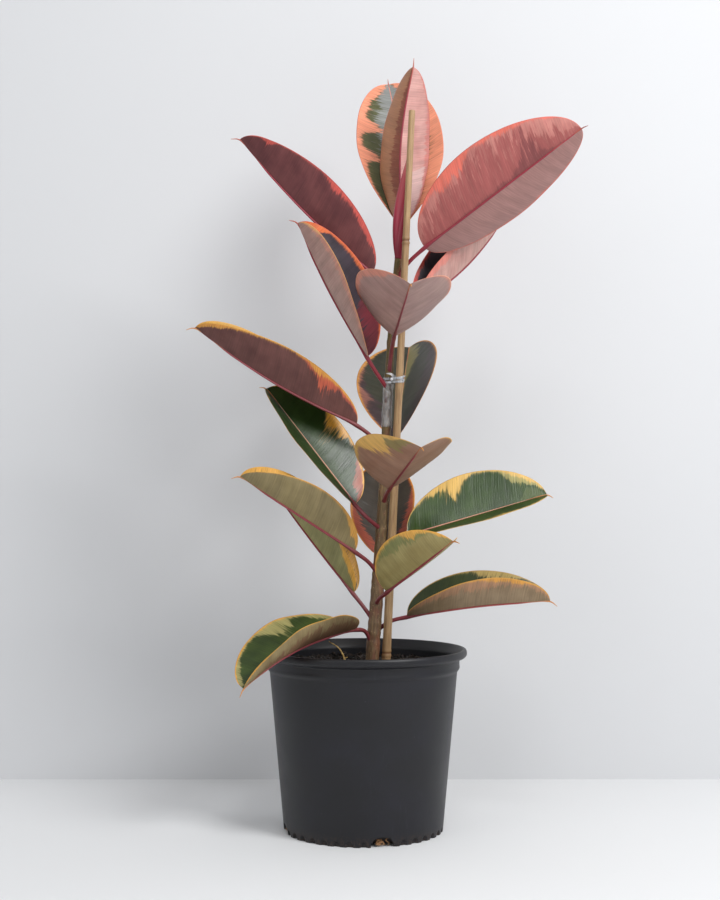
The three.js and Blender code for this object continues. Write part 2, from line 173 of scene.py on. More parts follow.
def grid_faces(rows, columns, closed=False, flip=False, first=0):
    faces = []
    for i in range(rows - 1):
        for j in range(columns if closed else columns - 1):
            k = (j + 1) % columns
            face = (i * columns + j, i * columns + k, (i + 1) * columns + k, (i + 1) * columns + j)
            faces.append(tuple(first + n for n in (face[::-1] if flip else face)))
    return faces


def capped_faces(rows, sides):
    """The faces of a closed tube whose two cap centres come after its rings."""
    low, high, last = rows * sides, rows * sides + 1, (rows - 1) * sides
    faces = grid_faces(rows, sides, closed=True)
    faces += [(low, (j + 1) % sides, j) for j in range(sides)]
    return faces + [(high, last + j, last + (j + 1) % sides) for j in range(sides)]


def circle(sides):
    return np.linspace(0, 2 * math.pi, sides, endpoint=False)


def ring_frames(line):
    tangents = unit(np.gradient(line, axis=0))
    side = np.array([0.0, 1.0, 0.0]) if abs(tangents[0][1]) < 0.9 else np.array([1.0, 0.0, 0.0])
    sides = []
    for tangent in tangents:
        side = unit(side - tangent * (side @ tangent))
        sides.append(side)
    sides = np.array(sides)
    return tangents, sides, np.cross(tangents, sides)


def tube(line, radii, sides):
    """The vertices and faces of a capped tube along a line. radii has one value a ring, or one a vertex."""
    line = np.asarray(line, float)
    _, right, over = ring_frames(line)
    turn = circle(sides)
    radii = np.asarray(radii, float)
    radii = radii[:, None] if radii.ndim == 1 else radii
    spokes = right[:, None] * np.cos(turn)[None, :, None] + over[:, None] * np.sin(turn)[None, :, None]
    rings = line[:, None] + spokes * (radii * np.ones((1, sides)))[..., None]
    vertices = np.vstack([rings.reshape(-1, 3), line[:1], line[-1:]])
    return vertices, capped_faces(len(line), sides)


def line_lengths(line):
    return np.concatenate([[0], np.cumsum(np.linalg.norm(np.diff(line, axis=0), axis=1))])


def tube_place(line, sides):
    """For each vertex of a tube: how far along it is, and the cosine and sine of its turn round the line."""
    turn = circle(sides)
    far = line_lengths(line)
    rings = [np.column_stack([np.full(sides, at), np.cos(turn), np.sin(turn)]) for at in far]
    return np.vstack([*rings, [[far[0], 0, 0], [far[-1], 0, 0]]])


def finish_piece(piece, nodes):
    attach(piece, "root")
    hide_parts(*nodes)
    return piece


# ---------- materials ----------
def rgb(code):
    """A colour written as six hex digits, made linear."""
    parts = [int(code[i:i + 2], 16) / 255 for i in (0, 2, 4)]
    return tuple(c / 12.92 if c <= 0.04045 else ((c + 0.055) / 1.055) ** 2.4 for c in parts) + (1.0,)


class Value:
    """What a node gives out, which can be added, subtracted and multiplied."""

    def __init__(self, paint, socket):
        self.paint, self.socket = paint, socket

    def __add__(self, other):
        return self.paint.math("ADD", self, other)

    def __radd__(self, other):
        return self.paint.math("ADD", other, self)

    def __sub__(self, other):
        return self.paint.math("SUBTRACT", self, other)

    def __rsub__(self, other):
        return self.paint.math("SUBTRACT", other, self)

    def __mul__(self, other):
        return self.paint.math("MULTIPLY", self, other)


class Paint:
    """A material's node tree, written as sums. A colour is six hex digits or a Value."""

    def __init__(self, name):
        self.material = bpy.data.materials.new(name)
        self.material.use_nodes = True
        self.tree = self.material.node_tree
        self.shader = self.tree.nodes["Principled BSDF"]

    def node(self, kind, **settings):
        made = self.tree.nodes.new("ShaderNode" + kind)
        for key, value in settings.items():
            setattr(made, key, value)
        return made

    def feed(self, socket, value):
        if isinstance(value, Value):
            self.tree.links.new(value.socket, socket)
        else:
            socket.default_value = rgb(value) if isinstance(value, str) else value

    def set(self, **sockets):
        for key, value in sockets.items():
            self.feed(self.shader.inputs[key.replace("_", " ")], value)

    def math(self, operation, *values, clamp=False):
        made = self.node("Math", operation=operation, use_clamp=clamp)
        for socket, value in zip(made.inputs, values):
            self.feed(socket, value)
        return Value(self, made.outputs[0])

    def soft_step(self, value, width):
        """0 where value is well under 0, 1 where it is well over, and a ramp of that width between."""
        return self.math("MULTIPLY_ADD", value, 1 / width, 0.5, clamp=True)

    def mix(self, factor, first, second):
        made = self.node("Mix", data_type="RGBA", clamp_factor=True)
        self.feed(made.inputs[0], factor)
        self.feed(made.inputs[6], first)
        self.feed(made.inputs[7], second)
        return Value(self, made.outputs[2])

    def blend(self, factor, first, second):
        made = self.node("Mix", data_type="FLOAT", clamp_factor=True)
        self.feed(made.inputs[0], factor)
        self.feed(made.inputs[2], first)
        self.feed(made.inputs[3], second)
        return Value(self, made.outputs[0])

    def vector(self, x, y, z):
        made = self.node("CombineXYZ")
        for socket, value in zip(made.inputs, (x, y, z)):
            self.feed(socket, value)
        return Value(self, made.outputs[0])

    def split(self, vector):
        made = self.node("SeparateXYZ")
        self.feed(made.inputs[0], vector)
        return [Value(self, socket) for socket in made.outputs]

    def attribute(self, name):
        return Value(self, self.node("Attribute", attribute_name=name).outputs["Vector"])

    def object_place(self, scale):
        """Object coordinates in millimetres, times a scale for each axis."""
        made = self.node("VectorMath", operation="MULTIPLY")
        self.feed(made.inputs[0], Value(self, self.node("TexCoord").outputs["Object"]))
        made.inputs[1].default_value = [s / MM for s in scale]
        return Value(self, made.outputs[0])

    def height(self):
        return self.split(self.object_place((1, 1, 1)))[2]

    def noise(self, vector, scale=1.0, detail=2.0, roughness=0.5):
        made = self.node("TexNoise")
        self.feed(made.inputs["Vector"], vector)
        made.inputs["Scale"].default_value = scale
        made.inputs["Detail"].default_value = detail
        made.inputs["Roughness"].default_value = roughness
        return Value(self, made.outputs["Fac"])

    def scaled(self, colour, amount):
        """A colour made lighter or darker by an amount."""
        made = self.node("VectorMath", operation="SCALE")
        self.feed(made.inputs[0], colour)
        self.feed(made.inputs["Scale"], amount)
        return Value(self, made.outputs[0])

    def ramp(self, factor, stops):
        made = self.node("ValToRGB")
        ramp = made.color_ramp
        while len(ramp.elements) < len(stops):
            ramp.elements.new(1.0)
        while len(ramp.elements) > len(stops):
            ramp.elements.remove(ramp.elements[-1])
        for element, (at, value) in zip(ramp.elements, sorted(stops)):
            element.position = at
            element.color = rgb(value) if isinstance(value, str) else (value, value, value, 1)
        self.feed(made.inputs[0], factor)
        return Value(self, made.outputs[0])

    def bump(self, height, distance, strength):
        made = self.node("Bump")
        made.inputs["Distance"].default_value = distance * MM
        made.inputs["Strength"].default_value = strength
        self.feed(made.inputs["Height"], height)
        return Value(self, made.outputs[0])

# ---------- leaves ----------
# v runs across a blade, from -1 at one rim through 0 at the midrib to 1 at the other rim.
# upper and under are the looks of a leaf's two sides: ground, second ground, rim, midrib, patches.
# A patch is (colour, where it grows from, stops for v < 0, stops for v > 0, raggedness), and a stop is
# (share of the way along the midrib, depth as a share of the half width).
USUAL = {
    "roll": 0, "curl": 15, "arch": 0, "bow": 0, "twist": 0, "hook": 0, "drip": 45, "peak": 0.5,
    "base": TIP_ROUNDNESS, "across": None,
}
NONE = [(0, 0)]
ALL = [(0, 1.4)]
WINE_VEIN = ("8a2836", "96283a", "b8604c")
RUST_VEIN = ("7c3438", "8f3a42", "d0904a")
PINK_VEIN = ("84343c", "a8504e", "d0904a")
LEAVES = [
    dict(
        name="top_front", slot="leaf_young", node=735, petiole=(58, 77, 81), blade=(345, 86, 222),
        width=106, folds=(32, 52), across=180, bow=10, drip=0, base=0.8, vein=WINE_VEIN,
        upper=("5a2f2c", "6c3b34", "e08a70", "c0605a", [
            ("e98f76", "edge", [(0, 0.3)], [(0, 0.3)], 0.5),
        ]),
        under=("c58f88", "d3a39b", "d9796c", "a8404a", [
            ("b07a58", "edge", NONE, ALL, 0.0),
            ("8a4a36", "rib", NONE, [(0, 0.5), (0.5, 0.3), (1, 0.2)], 0.9),
            ("d8b5b0", "edge", [(0, 1.4), (0.3, 1.3), (0.36, 0)], NONE, 0.1),
            ("c87e76", "edge", [(0, 0.1), (0.5, 0.2), (0.8, 0.1), (1, 0.3)], NONE, 0.8),
        ]),
    ),
    dict(
        name="top_back", slot="leaf_young", node=715, petiole=(73, 69, 107), blade=(99, 66, 256), width=128,
        folds=(10, 10), curl=12, across=0, bow=8, drip=10, peak=0.56, base=0.8, vein=WINE_VEIN,
        upper=("4e4f33", "5d5f3c", "ef8a68", "e08a78", [
            # The grey patch by the midrib (8d8f8c) is painted sheen: the grey gloss of this glossy upper
            # side, put in as colour.
            ("8d8f8c", "rib", [(0, 0.5), (0.3, 0.3), (0.5, 0.45), (1, 0.5)], [(0, 0.3), (1, 0.4)], 0.9),
            ("f09a7a", "edge", [(0, 0.14), (0.25, 0.1), (0.36, 0.16), (0.42, 0.6), (0.48, 0.16),
             (0.58, 0.2), (0.64, 0.7), (0.7, 0.22), (0.85, 0.3), (1, 0.8)], [(0, 0.4), (0.2, 0.4),
             (0.35, 0.6), (0.45, 0.3), (0.6, 0.5), (0.8, 0.2), (1, 0.7)], 0.75),
        ]),
        under=("a9625a", "b9766b", "ef8a68", "b04a50", [
            ("e9907a", "edge", [(0, 0.3), (0.5, 0.5), (1, 0.4)], [(0, 0.3), (0.5, 0.4), (1, 0.5)], 0.7),
        ]),
    ),
    dict(
        name="upper_left", slot="leaf_young", node=710, petiole=(207, 47, 50), blade=(196, 43, 248),
        width=112, folds=(55, 58), arch=-6, twist=-45, vein=WINE_VEIN,
        upper=("33242a", "43303a", "c85a50", "a03844", [
            ("b8483f", "edge", [(0, 0.5), (0.2, 0.2), (1, 0.15)], [(0, 0.4), (0.3, 0.2), (1, 0.2)], 0.7),
        ]),
        under=("5f3032", "6f3c3c", "b04c48", "8c2c3a", [
            ("c4534a", "edge", [(0, 0.16), (0.15, 0.2), (0.28, 0.1), (0.4, 0.16), (0.5, 0.05), (0.8, 0.04),
             (0.86, 0.24), (0.91, 0.05), (1, 0.1)], [(0, 0.2), (1, 0.1)], 0.9),
        ]),
    ),
    dict(
        name="upper_right", slot="leaf_young", node=740, petiole=(343, 46, 58), blade=(345, 35, 258),
        width=142, roll=-60, folds=(31, 8), peak=0.47, vein=WINE_VEIN,
        upper=("4a3036", "5c3d42", "e27f6c", "c0605a", [
            ("e2826c", "edge", [(0, 0.3), (0.5, 0.2), (1, 0.4)], [(0, 0.4), (0.5, 0.25), (1, 0.4)], 0.7),
        ]),
        under=("b06c66", "c07f76", "dd6f60", "a02c3c", [
            ("a87c76", "edge", ALL, NONE, 0.0),
            ("9c5552", "rib", NONE, [(0, 0.6), (0.5, 0.9), (1, 0.3)], 1.4),
            ("7e4444", "rib", NONE, [(0, 0), (0.6, 0.1), (0.7, 0.6), (0.8, 0.1), (1, 0)], 1.4),
            ("d96e5e", "edge", [(0, 0.06), (0.3, 0.05), (1, 0.08)], [(0, 0.05), (0.1, 0.1), (0.22, 0.26),
             (0.3, 0.3), (0.4, 0.06), (0.6, 0.12), (0.75, 0.06), (1, 0.1)], 0.9),
        ]),
    ),
    dict(
        name="left_folded", slot="leaf_middle", node=590, petiole=(212, 52, 55), blade=(203, 60, 200),
        width=114, roll=-25, folds=(18, 66), curl=20, arch=-4, twist=30, vein=WINE_VEIN,
        upper=("352a33", "42353f", "d9603a", "8a3038", [
            ("742832", "edge", [(0, 0.7), (0.2, 0.3), (0.3, 0.05)], [(0, 1.2), (0.22, 0.7), (0.36, 0.1),
             (0.45, 0)], 0.9),
            ("dd6e3a", "edge", [(0, 0), (0.7, 0.1), (0.9, 0.4), (1, 0.6)], [(0, 0.1), (0.8, 0.1),
             (0.9, 0.5), (1, 0.6)], 0.5),
        ]),
        under=("a37f76", "b08e83", "e3a36c", "a04a50", [
            ("c58c7c", "edge", [(0, 0.1), (1, 0.25)], [(0, 0.2), (1, 0.2)], 0.7),
            ("dca670", "edge", [(0, 0.04), (0.8, 0.05), (1, 0.3)], [(0, 0.04), (0.8, 0.05), (1, 0.3)], 0.3),
        ]),
    ),
    dict(
        name="right_back", slot="leaf_middle", node=695, petiole=(36, 20, 42), blade=(33, 42, 222),
        width=110, roll=12, folds=(55, 60), curl=20, arch=-14, vein=WINE_VEIN,
        upper=("302a30", "3e383e", "d9604a", "8a3038", [
            ("c0463c", "edge", [(0, 0.4), (0.12, 0.15), (0.3, 0.06), (1, 0.06)], [(0, 0.3), (0.2, 0.1),
             (1, 0.06)], 0.9),
        ]),
        under=("c18f86", "cca197", "e0806a", "a04a50", [
            ("d8867a", "edge", [(0, 0.3), (0.5, 0.2), (1, 0.3)], [(0, 0.3), (0.5, 0.2), (1, 0.3)], 0.7),
        ]),
    ),
    dict(
        name="front_cup", slot="leaf_middle", node=610, petiole=(278, 48, 64), blade=(277, 20, 146),
        width=150, folds=(21, 32), vein=RUST_VEIN,
        upper=("33262b", "443439", "e79a72", "a0404a", [
            ("d9705a", "edge", [(0, 0.2), (1, 0.2)], [(0, 0.2), (1, 0.2)], 0.5),
        ]),
        under=("a2807a", "ae8d85", "e6a483", "a0404c", [
            ("d08a78", "edge", [(0, 0.05), (1, 0.1)], [(0, 0.1), (0.4, 0.12), (0.6, 0.2), (0.75, 0.35),
             (0.9, 0.2), (1, 0.2)], 0.6),
        ]),
    ),
    dict(
        name="left_long", slot="leaf_middle", node=500, petiole=(205, 44, 60), blade=(192, 30, 250),
        width=102, folds=(58, 56), arch=-8, twist=-45, vein=RUST_VEIN,
        upper=("4c3442", "5c4050", "e0ac4c", "b05a50", [
            ("d67a66", "edge", [(0, 0.6), (0.5, 0.4), (1, 0.6)], [(0, 0.4), (0.6, 0.2), (0.8, 0.3),
             (1, 0.9)], 1.2),
            ("dcaa4e", "edge", [(0, 0.1), (1, 0.3)], [(0, 0.09), (0.7, 0.08), (1, 0.3)], 0.6),
        ]),
        under=("583430", "68413c", "d39c4a", "8a3440", [
            ("bb5a42", "edge", [(0, 0.2), (0.12, 0.2), (0.25, 0.5), (0.3, 0.2), (0.36, 0.08), (0.45, 0)],
             NONE, 1.0),
            ("d39444", "edge", [(0, 0.1), (0.2, 0.12), (0.27, 0.26), (0.33, 0.06), (0.6, 0.05), (0.8, 0.1),
             (0.95, 0.3), (1, 0.8)], [(0, 0.1), (1, 0.2)], 0.8),
        ]),
    ),
    dict(
        name="back_middle", slot="leaf_middle", node=490, petiole=(60, 48, 45), blade=(80, 46, 196),
        width=136, folds=(5, 34), peak=0.58, base=0.6, vein=PINK_VEIN,
        upper=("2b2f22", "3a3b2b", "dd9c4c", "b9875a", [
            ("3c2e30", "edge", [(0, 0.8), (0.35, 0.4), (0.5, 0.1), (1, 0)], [(0, 0.6), (0.5, 0.4),
             (1, 0.1)], 1.0),
            ("8c5c50", "edge", [(0, 0.2), (0.2, 0.1), (0.33, 0.28), (0.42, 0.06), (0.52, 0.14), (0.7, 0.04),
             (1, 0.1)], NONE, 1.2),
            ("87804a", "rib", NONE, [(0, 0.04), (0.6, 0.05), (0.8, 0.3), (0.95, 0.6), (1, 0.8)], 1.1),
            ("dd9a48", "edge", [(0, 0.08), (0.5, 0.06), (1, 0.14)], [(0, 0.06), (0.8, 0.06), (1, 0.14)],
             0.6),
        ]),
        under=("8a6a52", "977a60", "e5a24c", "b05a50", [
            ("d99a4c", "edge", [(0, 0.2), (1, 0.3)], [(0, 0.2), (1, 0.3)], 0.6),
        ]),
    ),
    dict(
        name="left_green", slot="leaf_mature", node=400, petiole=(210, 40, 55), blade=(170, 52, 198),
        width=116, roll=-30, folds=(20, 18), vein=PINK_VEIN,
        upper=("1f3310", "2b4018", "d9a244", "c4937a", [
            ("957a50", "edge", NONE, [(0, 0), (0.34, 0), (0.4, 0.3), (0.47, 0.55), (0.53, 0.3), (0.58, 0),
             (1, 0)], 1.1),
            ("98503a", "edge", NONE, [(0, 0.6), (0.1, 0.45), (0.18, 0.14), (0.24, 0)], 0.8),
            ("70743f", "edge", [(0, 0), (0.84, 0), (0.9, 0.45), (1, 0.8)], NONE, 0.6),
            ("dca03c", "edge", [(0, 0.06), (0.5, 0.05), (0.8, 0.06), (1, 0.14)], [(0, 0.1), (0.22, 0.07),
             (0.32, 0.1), (0.42, 0.26), (0.5, 0.36), (0.57, 0.05), (0.9, 0.05), (1, 0.2)], 1.0),
        ]),
        under=("8a8555", "979360", "e0a848", "b87058", [
            ("d9a04c", "edge", [(0, 0.1), (1, 0.2)], [(0, 0.2), (0.4, 0.6), (0.6, 0.2), (1, 0.2)], 0.5),
        ]),
    ),
    dict(
        name="front_middle", slot="leaf_middle", node=435, petiole=(281, 28, 42), blade=(285, 20, 150),
        width=142, folds=(20, 24), vein=RUST_VEIN,
        upper=("3a3a26", "484630", "e0ac50", "a85a4c", [
            ("e0ac50", "edge", [(0, 0.2), (1, 0.3)], [(0, 0.4), (0.5, 0.6), (1, 0.3)], 0.6),
        ]),
        under=("97705c", "a27e6a", "dca85a", "96404a", [
            ("8f7f52", "edge", NONE, [(0, 0), (0.6, 0.05), (0.75, 0.7), (0.95, 0.5), (1, 0)], 0.5),
            ("dcae62", "edge", [(0, 0.06), (0.5, 0.04), (0.9, 0.06), (1, 0.15)], [(0, 0.07), (0.35, 0.1),
             (0.5, 0.5), (0.64, 0.6), (0.74, 0.14), (0.82, 0.3), (0.9, 0.12), (1, 0.3)], 0.7),
        ]),
    ),
    dict(
        name="back_lower", slot="leaf_middle", node=330, petiole=(80, 48, 43), blade=(86, 55, 158),
        width=98, folds=(15, 15), base=0.6, vein=PINK_VEIN,
        upper=("2c2418", "3a3022", "e09a3c", "b86a4c", [
            ("a4482c", "edge", [(0, 0.9), (0.15, 0.5), (0.35, 0.2), (0.6, 0.1), (1, 0.08)], [(0, 0.6),
             (0.2, 0.35), (0.4, 0.3), (0.55, 0.12), (1, 0.08)], 0.9),
            ("d98a3c", "edge", [(0, 0.08), (1, 0.08)], [(0, 0.07), (1, 0.08)], 0.5),
        ]),
        under=("8d7a50", "99875c", "e0a04c", "a85a4c", [
            ("d99a4c", "edge", [(0, 0.2), (1, 0.2)], [(0, 0.3), (1, 0.2)], 0.6),
        ]),
    ),
    dict(
        name="right_green", slot="leaf_mature", node=375, petiole=(8, 25, 42), blade=(7, 16, 200),
        width=124, roll=30, folds=(34, 20), curl=10, vein=PINK_VEIN,
        upper=("294013", "374f1b", "deb058", "d49a84", [
            ("a39a5c", "edge", [(0, 0), (0.66, 0.05), (0.76, 0.4), (0.95, 0.4), (1, 0.3)], [(0, 0),
             (0.7, 0.05), (1, 0.3)], 0.5),
            ("4c5c2c", "rib", [(0, 0), (0.8, 0), (0.86, 0.5), (0.94, 0.55), (1, 0)], NONE, 0.3),
            ("deb460", "edge", [(0, 0.06), (0.1, 0.1), (0.22, 0.14), (0.29, 0.3), (0.35, 0.45),
             (0.41, 0.14), (0.5, 0.05), (0.65, 0.05), (0.76, 0.14), (0.85, 0.2), (1, 0.35)], [(0, 0.14),
             (0.4, 0.12), (0.55, 0.26), (0.7, 0.1), (1, 0.2)], 1.0),
        ]),
        under=("8f8a58", "9c9764", "e0ac50", "b87058", [
            ("dbaa55", "edge", [(0, 0.1), (0.35, 0.4), (0.5, 0.1), (0.8, 0.4), (1, 0.3)], [(0, 0.15),
             (1, 0.2)], 0.5),
        ]),
    ),
    dict(
        name="left_grey", slot="leaf_mature", node=340, petiole=(213, 40, 50), blade=(200, 32, 187),
        width=96, folds=(52, 56), twist=-40, vein=RUST_VEIN,
        upper=("40342c", "504034", "e0aa4c", "b06a50", [
            ("e2aa4e", "edge", [(0, 0.1), (0.5, 0.3), (1, 0.5)], [(0, 0.05), (0.45, 0.14), (0.6, 0.4),
             (0.75, 0.8), (1, 1.2)], 1.1),
        ]),
        under=("867853", "92835e", "dca550", "9a3c48", [
            ("d09a4e", "edge", [(0, 0.5), (0.08, 0.42), (0.16, 0.12), (0.3, 0.05), (1, 0.06)], [(0, 0.1),
             (1, 0.1)], 0.5),
        ]),
    ),
    dict(
        name="left_behind", slot="leaf_mature", node=275, petiole=(168, 53, 50), blade=(158, 50, 204),
        width=96, folds=(60, 40), curl=10, arch=-2, vein=RUST_VEIN,
        upper=("34391f", "414628", "e0aa4c", "b06a50", [
            ("e2aa4e", "edge", [(0, 0.2), (1, 0.3)], [(0, 0.3), (0.5, 0.4), (1, 0.4)], 0.6),
        ]),
        under=("888352", "96915f", "dfa548", "9a3c48", [
            ("dda446", "edge", [(0, 0.5), (0.12, 0.35), (0.25, 0.1), (1, 0.05)], [(0, 0.2), (1, 0.1)], 0.5),
        ]),
    ),
    dict(
        name="front_low", slot="leaf_mature", node=300, petiole=(289, 25, 46), blade=(315, 31, 135),
        width=112, folds=(10, 35), curl=25, vein=RUST_VEIN,
        upper=("3a4022", "484e2c", "e0a84c", "b06a50", [
            ("e2aa4e", "edge", [(0, 0.2), (1, 0.5)], [(0, 0.2), (1, 0.3)], 0.6),
        ]),
        under=("9a8a58", "a69865", "e2a84c", "a8504e", [
            ("7f8050", "edge", NONE, [(0, 0), (0.3, 0.3), (0.6, 0.4), (0.9, 0.1)], 0.7),
            ("dba44e", "edge", [(0, 0.1), (0.6, 0.1), (1, 0.4)], [(0, 0.1), (0.5, 0.07), (0.64, 0.3),
             (0.72, 0.14), (0.85, 0.14), (1, 0.5)], 0.8),
        ]),
    ),
    dict(
        name="right_low", slot="leaf_mature", node=262, petiole=(6, 25, 50), blade=(349, 7, 193), width=100,
        roll=12, folds=(50, 50), arch=4, twist=-35, vein=PINK_VEIN,
        upper=("2c371c", "3a4524", "b8965a", "b87058", [
            ("b39a5a", "edge", [(0, 0), (0.4, 0.05), (0.52, 0.22), (0.66, 0.3), (0.76, 0.06), (1, 0.1)],
             [(0, 0.1), (1, 0.12)], 1.1),
        ]),
        under=("8c765a", "9c8669", "d39c4c", "9a4a4c", [
            ("ae8464", "edge", [(0, 0.1), (1, 0.1)], [(0, 0.2), (0.5, 0.35), (0.8, 0.3), (1, 0.4)], 1.2),
            ("d99c48", "edge", [(0, 0.1), (1, 0.1)], [(0, 0.04), (0.45, 0.06), (0.6, 0.16), (0.75, 0.2),
             (0.9, 0.08), (1, 0.2)], 0.9),
        ]),
    ),
    dict(
        name="left_drooping", slot="leaf_mature", node=240, petiole=(222, 42, 42), blade=(225, -16, 204),
        width=114, roll=-3, folds=(38, 24), arch=11, twist=8, hook=4, vein=RUST_VEIN,
        upper=("283815", "37481c", "d99c40", "b87058", [
            ("97905c", "edge", [(0, 0.2), (1, 0.2)], [(0, 0.1), (0.1, 0.3), (0.2, 0.1), (0.28, 0.06),
             (0.36, 0.3), (0.46, 0.5), (0.53, 0.2), (0.6, 0.08), (0.8, 0.1), (0.9, 0.3), (1, 0.8)], 1.0),
            ("d99c44", "edge", [(0, 0.08), (1, 0.1)], [(0, 0.04), (0.5, 0.05), (0.9, 0.07), (1, 0.2)], 0.9),
        ]),
        under=("93805c", "a5936c", "d9a048", "94504a", [
            ("86654c", "rib", [(0, 0.9), (0.4, 0.6), (0.8, 0.3), (1, 0.2)], NONE, 1.1),
            ("d9a04a", "edge", [(0, 0.04), (0.7, 0.04), (1, 0.2)], [(0, 0.1), (1, 0.1)], 0.7),
        ]),
    ),
]

STEM_LINE = smooth_line([p[:3] for p in STEM], 220)


def stem_centre(height):
    return np.array([np.interp(height, STEM_LINE[:, 2], STEM_LINE[:, k]) for k in range(3)])


def stem_radius(height):
    return np.interp(height, [p[2] for p in STEM], [p[3] for p in STEM])


class Leaf:
    """Where a leaf's blade is, with the sums that the CAD model uses."""

    def __init__(self, numbers):
        self.__dict__.update({**USUAL, **numbers})
        heading, pitch, self.stalk = self.petiole
        self.leaving = pointing(heading, pitch)
        self.start = stem_centre(self.node)
        self.foot = self.start + self.leaving * self.stalk
        heading, pitch, self.length = self.blade
        self.along = pointing(heading, pitch)
        if self.across is None:
            across = np.cross(self.along, UP)
        else:
            across = pointing(self.across, 0)
            across = across - self.along * (across @ self.along)
        across = unit(across)
        upper = np.cross(across, self.along)
        roll = math.radians(self.roll)
        self.side = turned_about(across, self.along, roll)
        self.upward = turned_about(upper, self.along, roll)
        self.chance = random.Random(self.name)
        ranges = [(2, 7), (0, 6.3), (0.4, 1)]
        self.waves = [[self.chance.uniform(*ends) for ends in ranges] for _ in range(WAVE_COUNT)]

    def midrib(self, u):
        u = np.asarray(u, float)[..., None]
        hump = np.sin(math.pi * u)
        hooked = self.hook * (np.maximum(u - 0.6, 0) / 0.4) ** 2
        lift = self.arch * hump - hooked
        return self.foot + self.along * u * self.length + self.upward * lift + self.side * self.bow * hump

    def half_width(self, u):
        bend = math.log(0.5) / math.log(self.peak)
        rounding = self.base + (TIP_ROUNDNESS - self.base) * np.minimum(u / self.peak, 1)
        share = np.maximum(np.sin(math.pi * u**bend), 0) ** rounding
        return self.width / 2 * np.maximum(share, 0.012)

    def blade_points(self, u, v):
        """Points of the blade's middle surface, and the way its upper side faces, for arrays of u and v."""
        ahead = self.midrib(np.minimum(u + NUDGE, 1))
        tangent = unit(ahead - self.midrib(np.maximum(u - NUDGE, 0)))
        turn = np.radians(self.twist * (u - 0.5))[..., None]
        upper = self.upward * np.cos(turn) + self.side * np.sin(turn)
        upper = unit(upper - tangent * np.sum(upper * tangent, axis=-1, keepdims=True))
        across = np.cross(tangent, upper)
        side = np.where(v < 0, -1.0, 1.0)
        reach = np.abs(v)
        fold = np.radians(np.where(v < 0, self.folds[0], self.folds[1]))
        curl = math.radians(self.curl)
        tilt = fold + curl * reach
        out = (np.sin(tilt) - np.sin(fold)) / curl
        rise = (np.cos(fold) - np.cos(tilt)) / curl
        width = self.half_width(u)
        tilt = np.where(reach < NUDGE, 0, tilt)
        facing = upper * np.cos(tilt)[..., None] - across * (side * np.sin(tilt))[..., None]
        wave = sum(np.sin(n * math.pi * u + phase + side) * size for n, phase, size in self.waves) / 3
        place = self.midrib(u) + across * (side * out * width)[..., None] + upper * (rise * width)[..., None]
        return place + facing * (LEAF_WAVE * wave * reach**3 * width / self.width * 2)[..., None], facing

    def vein_line(self):
        back = -self.stalk * 0.25
        points = [self.start, self.foot + self.along * back + self.leaving * back]
        for share in (0, 0.25, 0.5, 0.75, 1):
            points.append(self.midrib(share) - self.upward * 0.8)
        bent = math.radians(self.drip)
        drip = self.along * math.cos(bent) - self.upward * math.sin(bent)
        points.append(self.midrib(1) + drip * DRIP_LENGTH)
        return smooth_line(points, 120)


def leaf_shape(leaf):
    """The blade as two skins that share their rim, with the stalk, midrib and drip tip under it."""
    u = (1 - np.cos(np.linspace(0, math.pi, LEAF_STATIONS))) / 2
    half = np.array(LEAF_HALF_STATIONS)
    v = np.concatenate([-half[:0:-1], half])
    uu, vv = np.meshgrid(u, v, indexing="ij")
    middle, facing = leaf.blade_points(uu, vv)
    width = leaf.half_width(uu)
    thick = LEAF_SKIN * (1 - np.abs(vv) ** 8)
    thick = thick * np.minimum(1, 12 * np.minimum(uu, 1 - uu)) * np.minimum(1, width / 6)
    top = middle + facing * (thick / 2)[..., None]
    low = middle - facing * (thick / 2)[..., None]
    reach = np.abs(vv) * width
    rib = leaf.length * uu - RIB_LEAN * reach - 0.1 * reach**2 / (leaf.width / 2)
    place = np.stack([rib, vv * width, 1 - np.abs(vv)], axis=-1).reshape(-1, 3)
    share = np.stack([rib / leaf.length, width, uu], axis=-1).reshape(-1, 3)
    rows, columns = uu.shape
    shape = Shape()
    upper_faces = grid_faces(rows, columns)
    rim = {}
    for i in range(rows):
        for j in range(columns):
            if i in (0, rows - 1) or j in (0, columns - 1):
                rim[i * columns + j + rows * columns] = i * columns + j
    under_faces = grid_faces(rows, columns, flip=True, first=rows * columns)
    under_faces = [tuple(rim.get(n, n) for n in face) for face in under_faces]
    shape.add(
        np.vstack([top.reshape(-1, 3), low.reshape(-1, 3)]), upper_faces + under_faces,
        [0] * len(upper_faces) + [1] * len(under_faces), np.vstack([place, place]), np.vstack([share, share]),
    )
    line = leaf.vein_line()
    far = line_lengths(line)
    past = np.clip((far - leaf.stalk) / (far[-1] - leaf.stalk), 0, 1)
    radii = np.interp(past, [0, 0.03, 0.12, 0.9, 0.95, 1], [PETIOLE_RADIUS, 2.5, 1.6, 0.8, 1.0, 0.3])
    radii *= 1 + 0.12 * np.exp(-((far - leaf.stalk) / 7) ** 2) + 0.25 * np.exp(-(far / 12) ** 2)
    sunk = np.minimum(radii, 1.2)[:, None] * np.where(past < 0.93, 1, 0)[:, None]
    under = past[:, None] * leaf.upward * sunk
    vertices, faces = tube(line - under * 0.5, radii, VEIN_SIDES)
    along = np.append(np.repeat(past, VEIN_SIDES), [past[0], past[-1]])
    share = np.column_stack([along, along * 0, along * 0])
    shape.add(vertices, faces, 2, tube_place(line, VEIN_SIDES), share)
    return shape


DEPTH_LOW = -0.25
DEPTH_SPAN = 2.0


def depth_ramp(paint, along, stops):
    held = [(at, (depth - DEPTH_LOW) / DEPTH_SPAN) for at, depth in stops]
    return paint.ramp(along, held) * DEPTH_SPAN + DEPTH_LOW


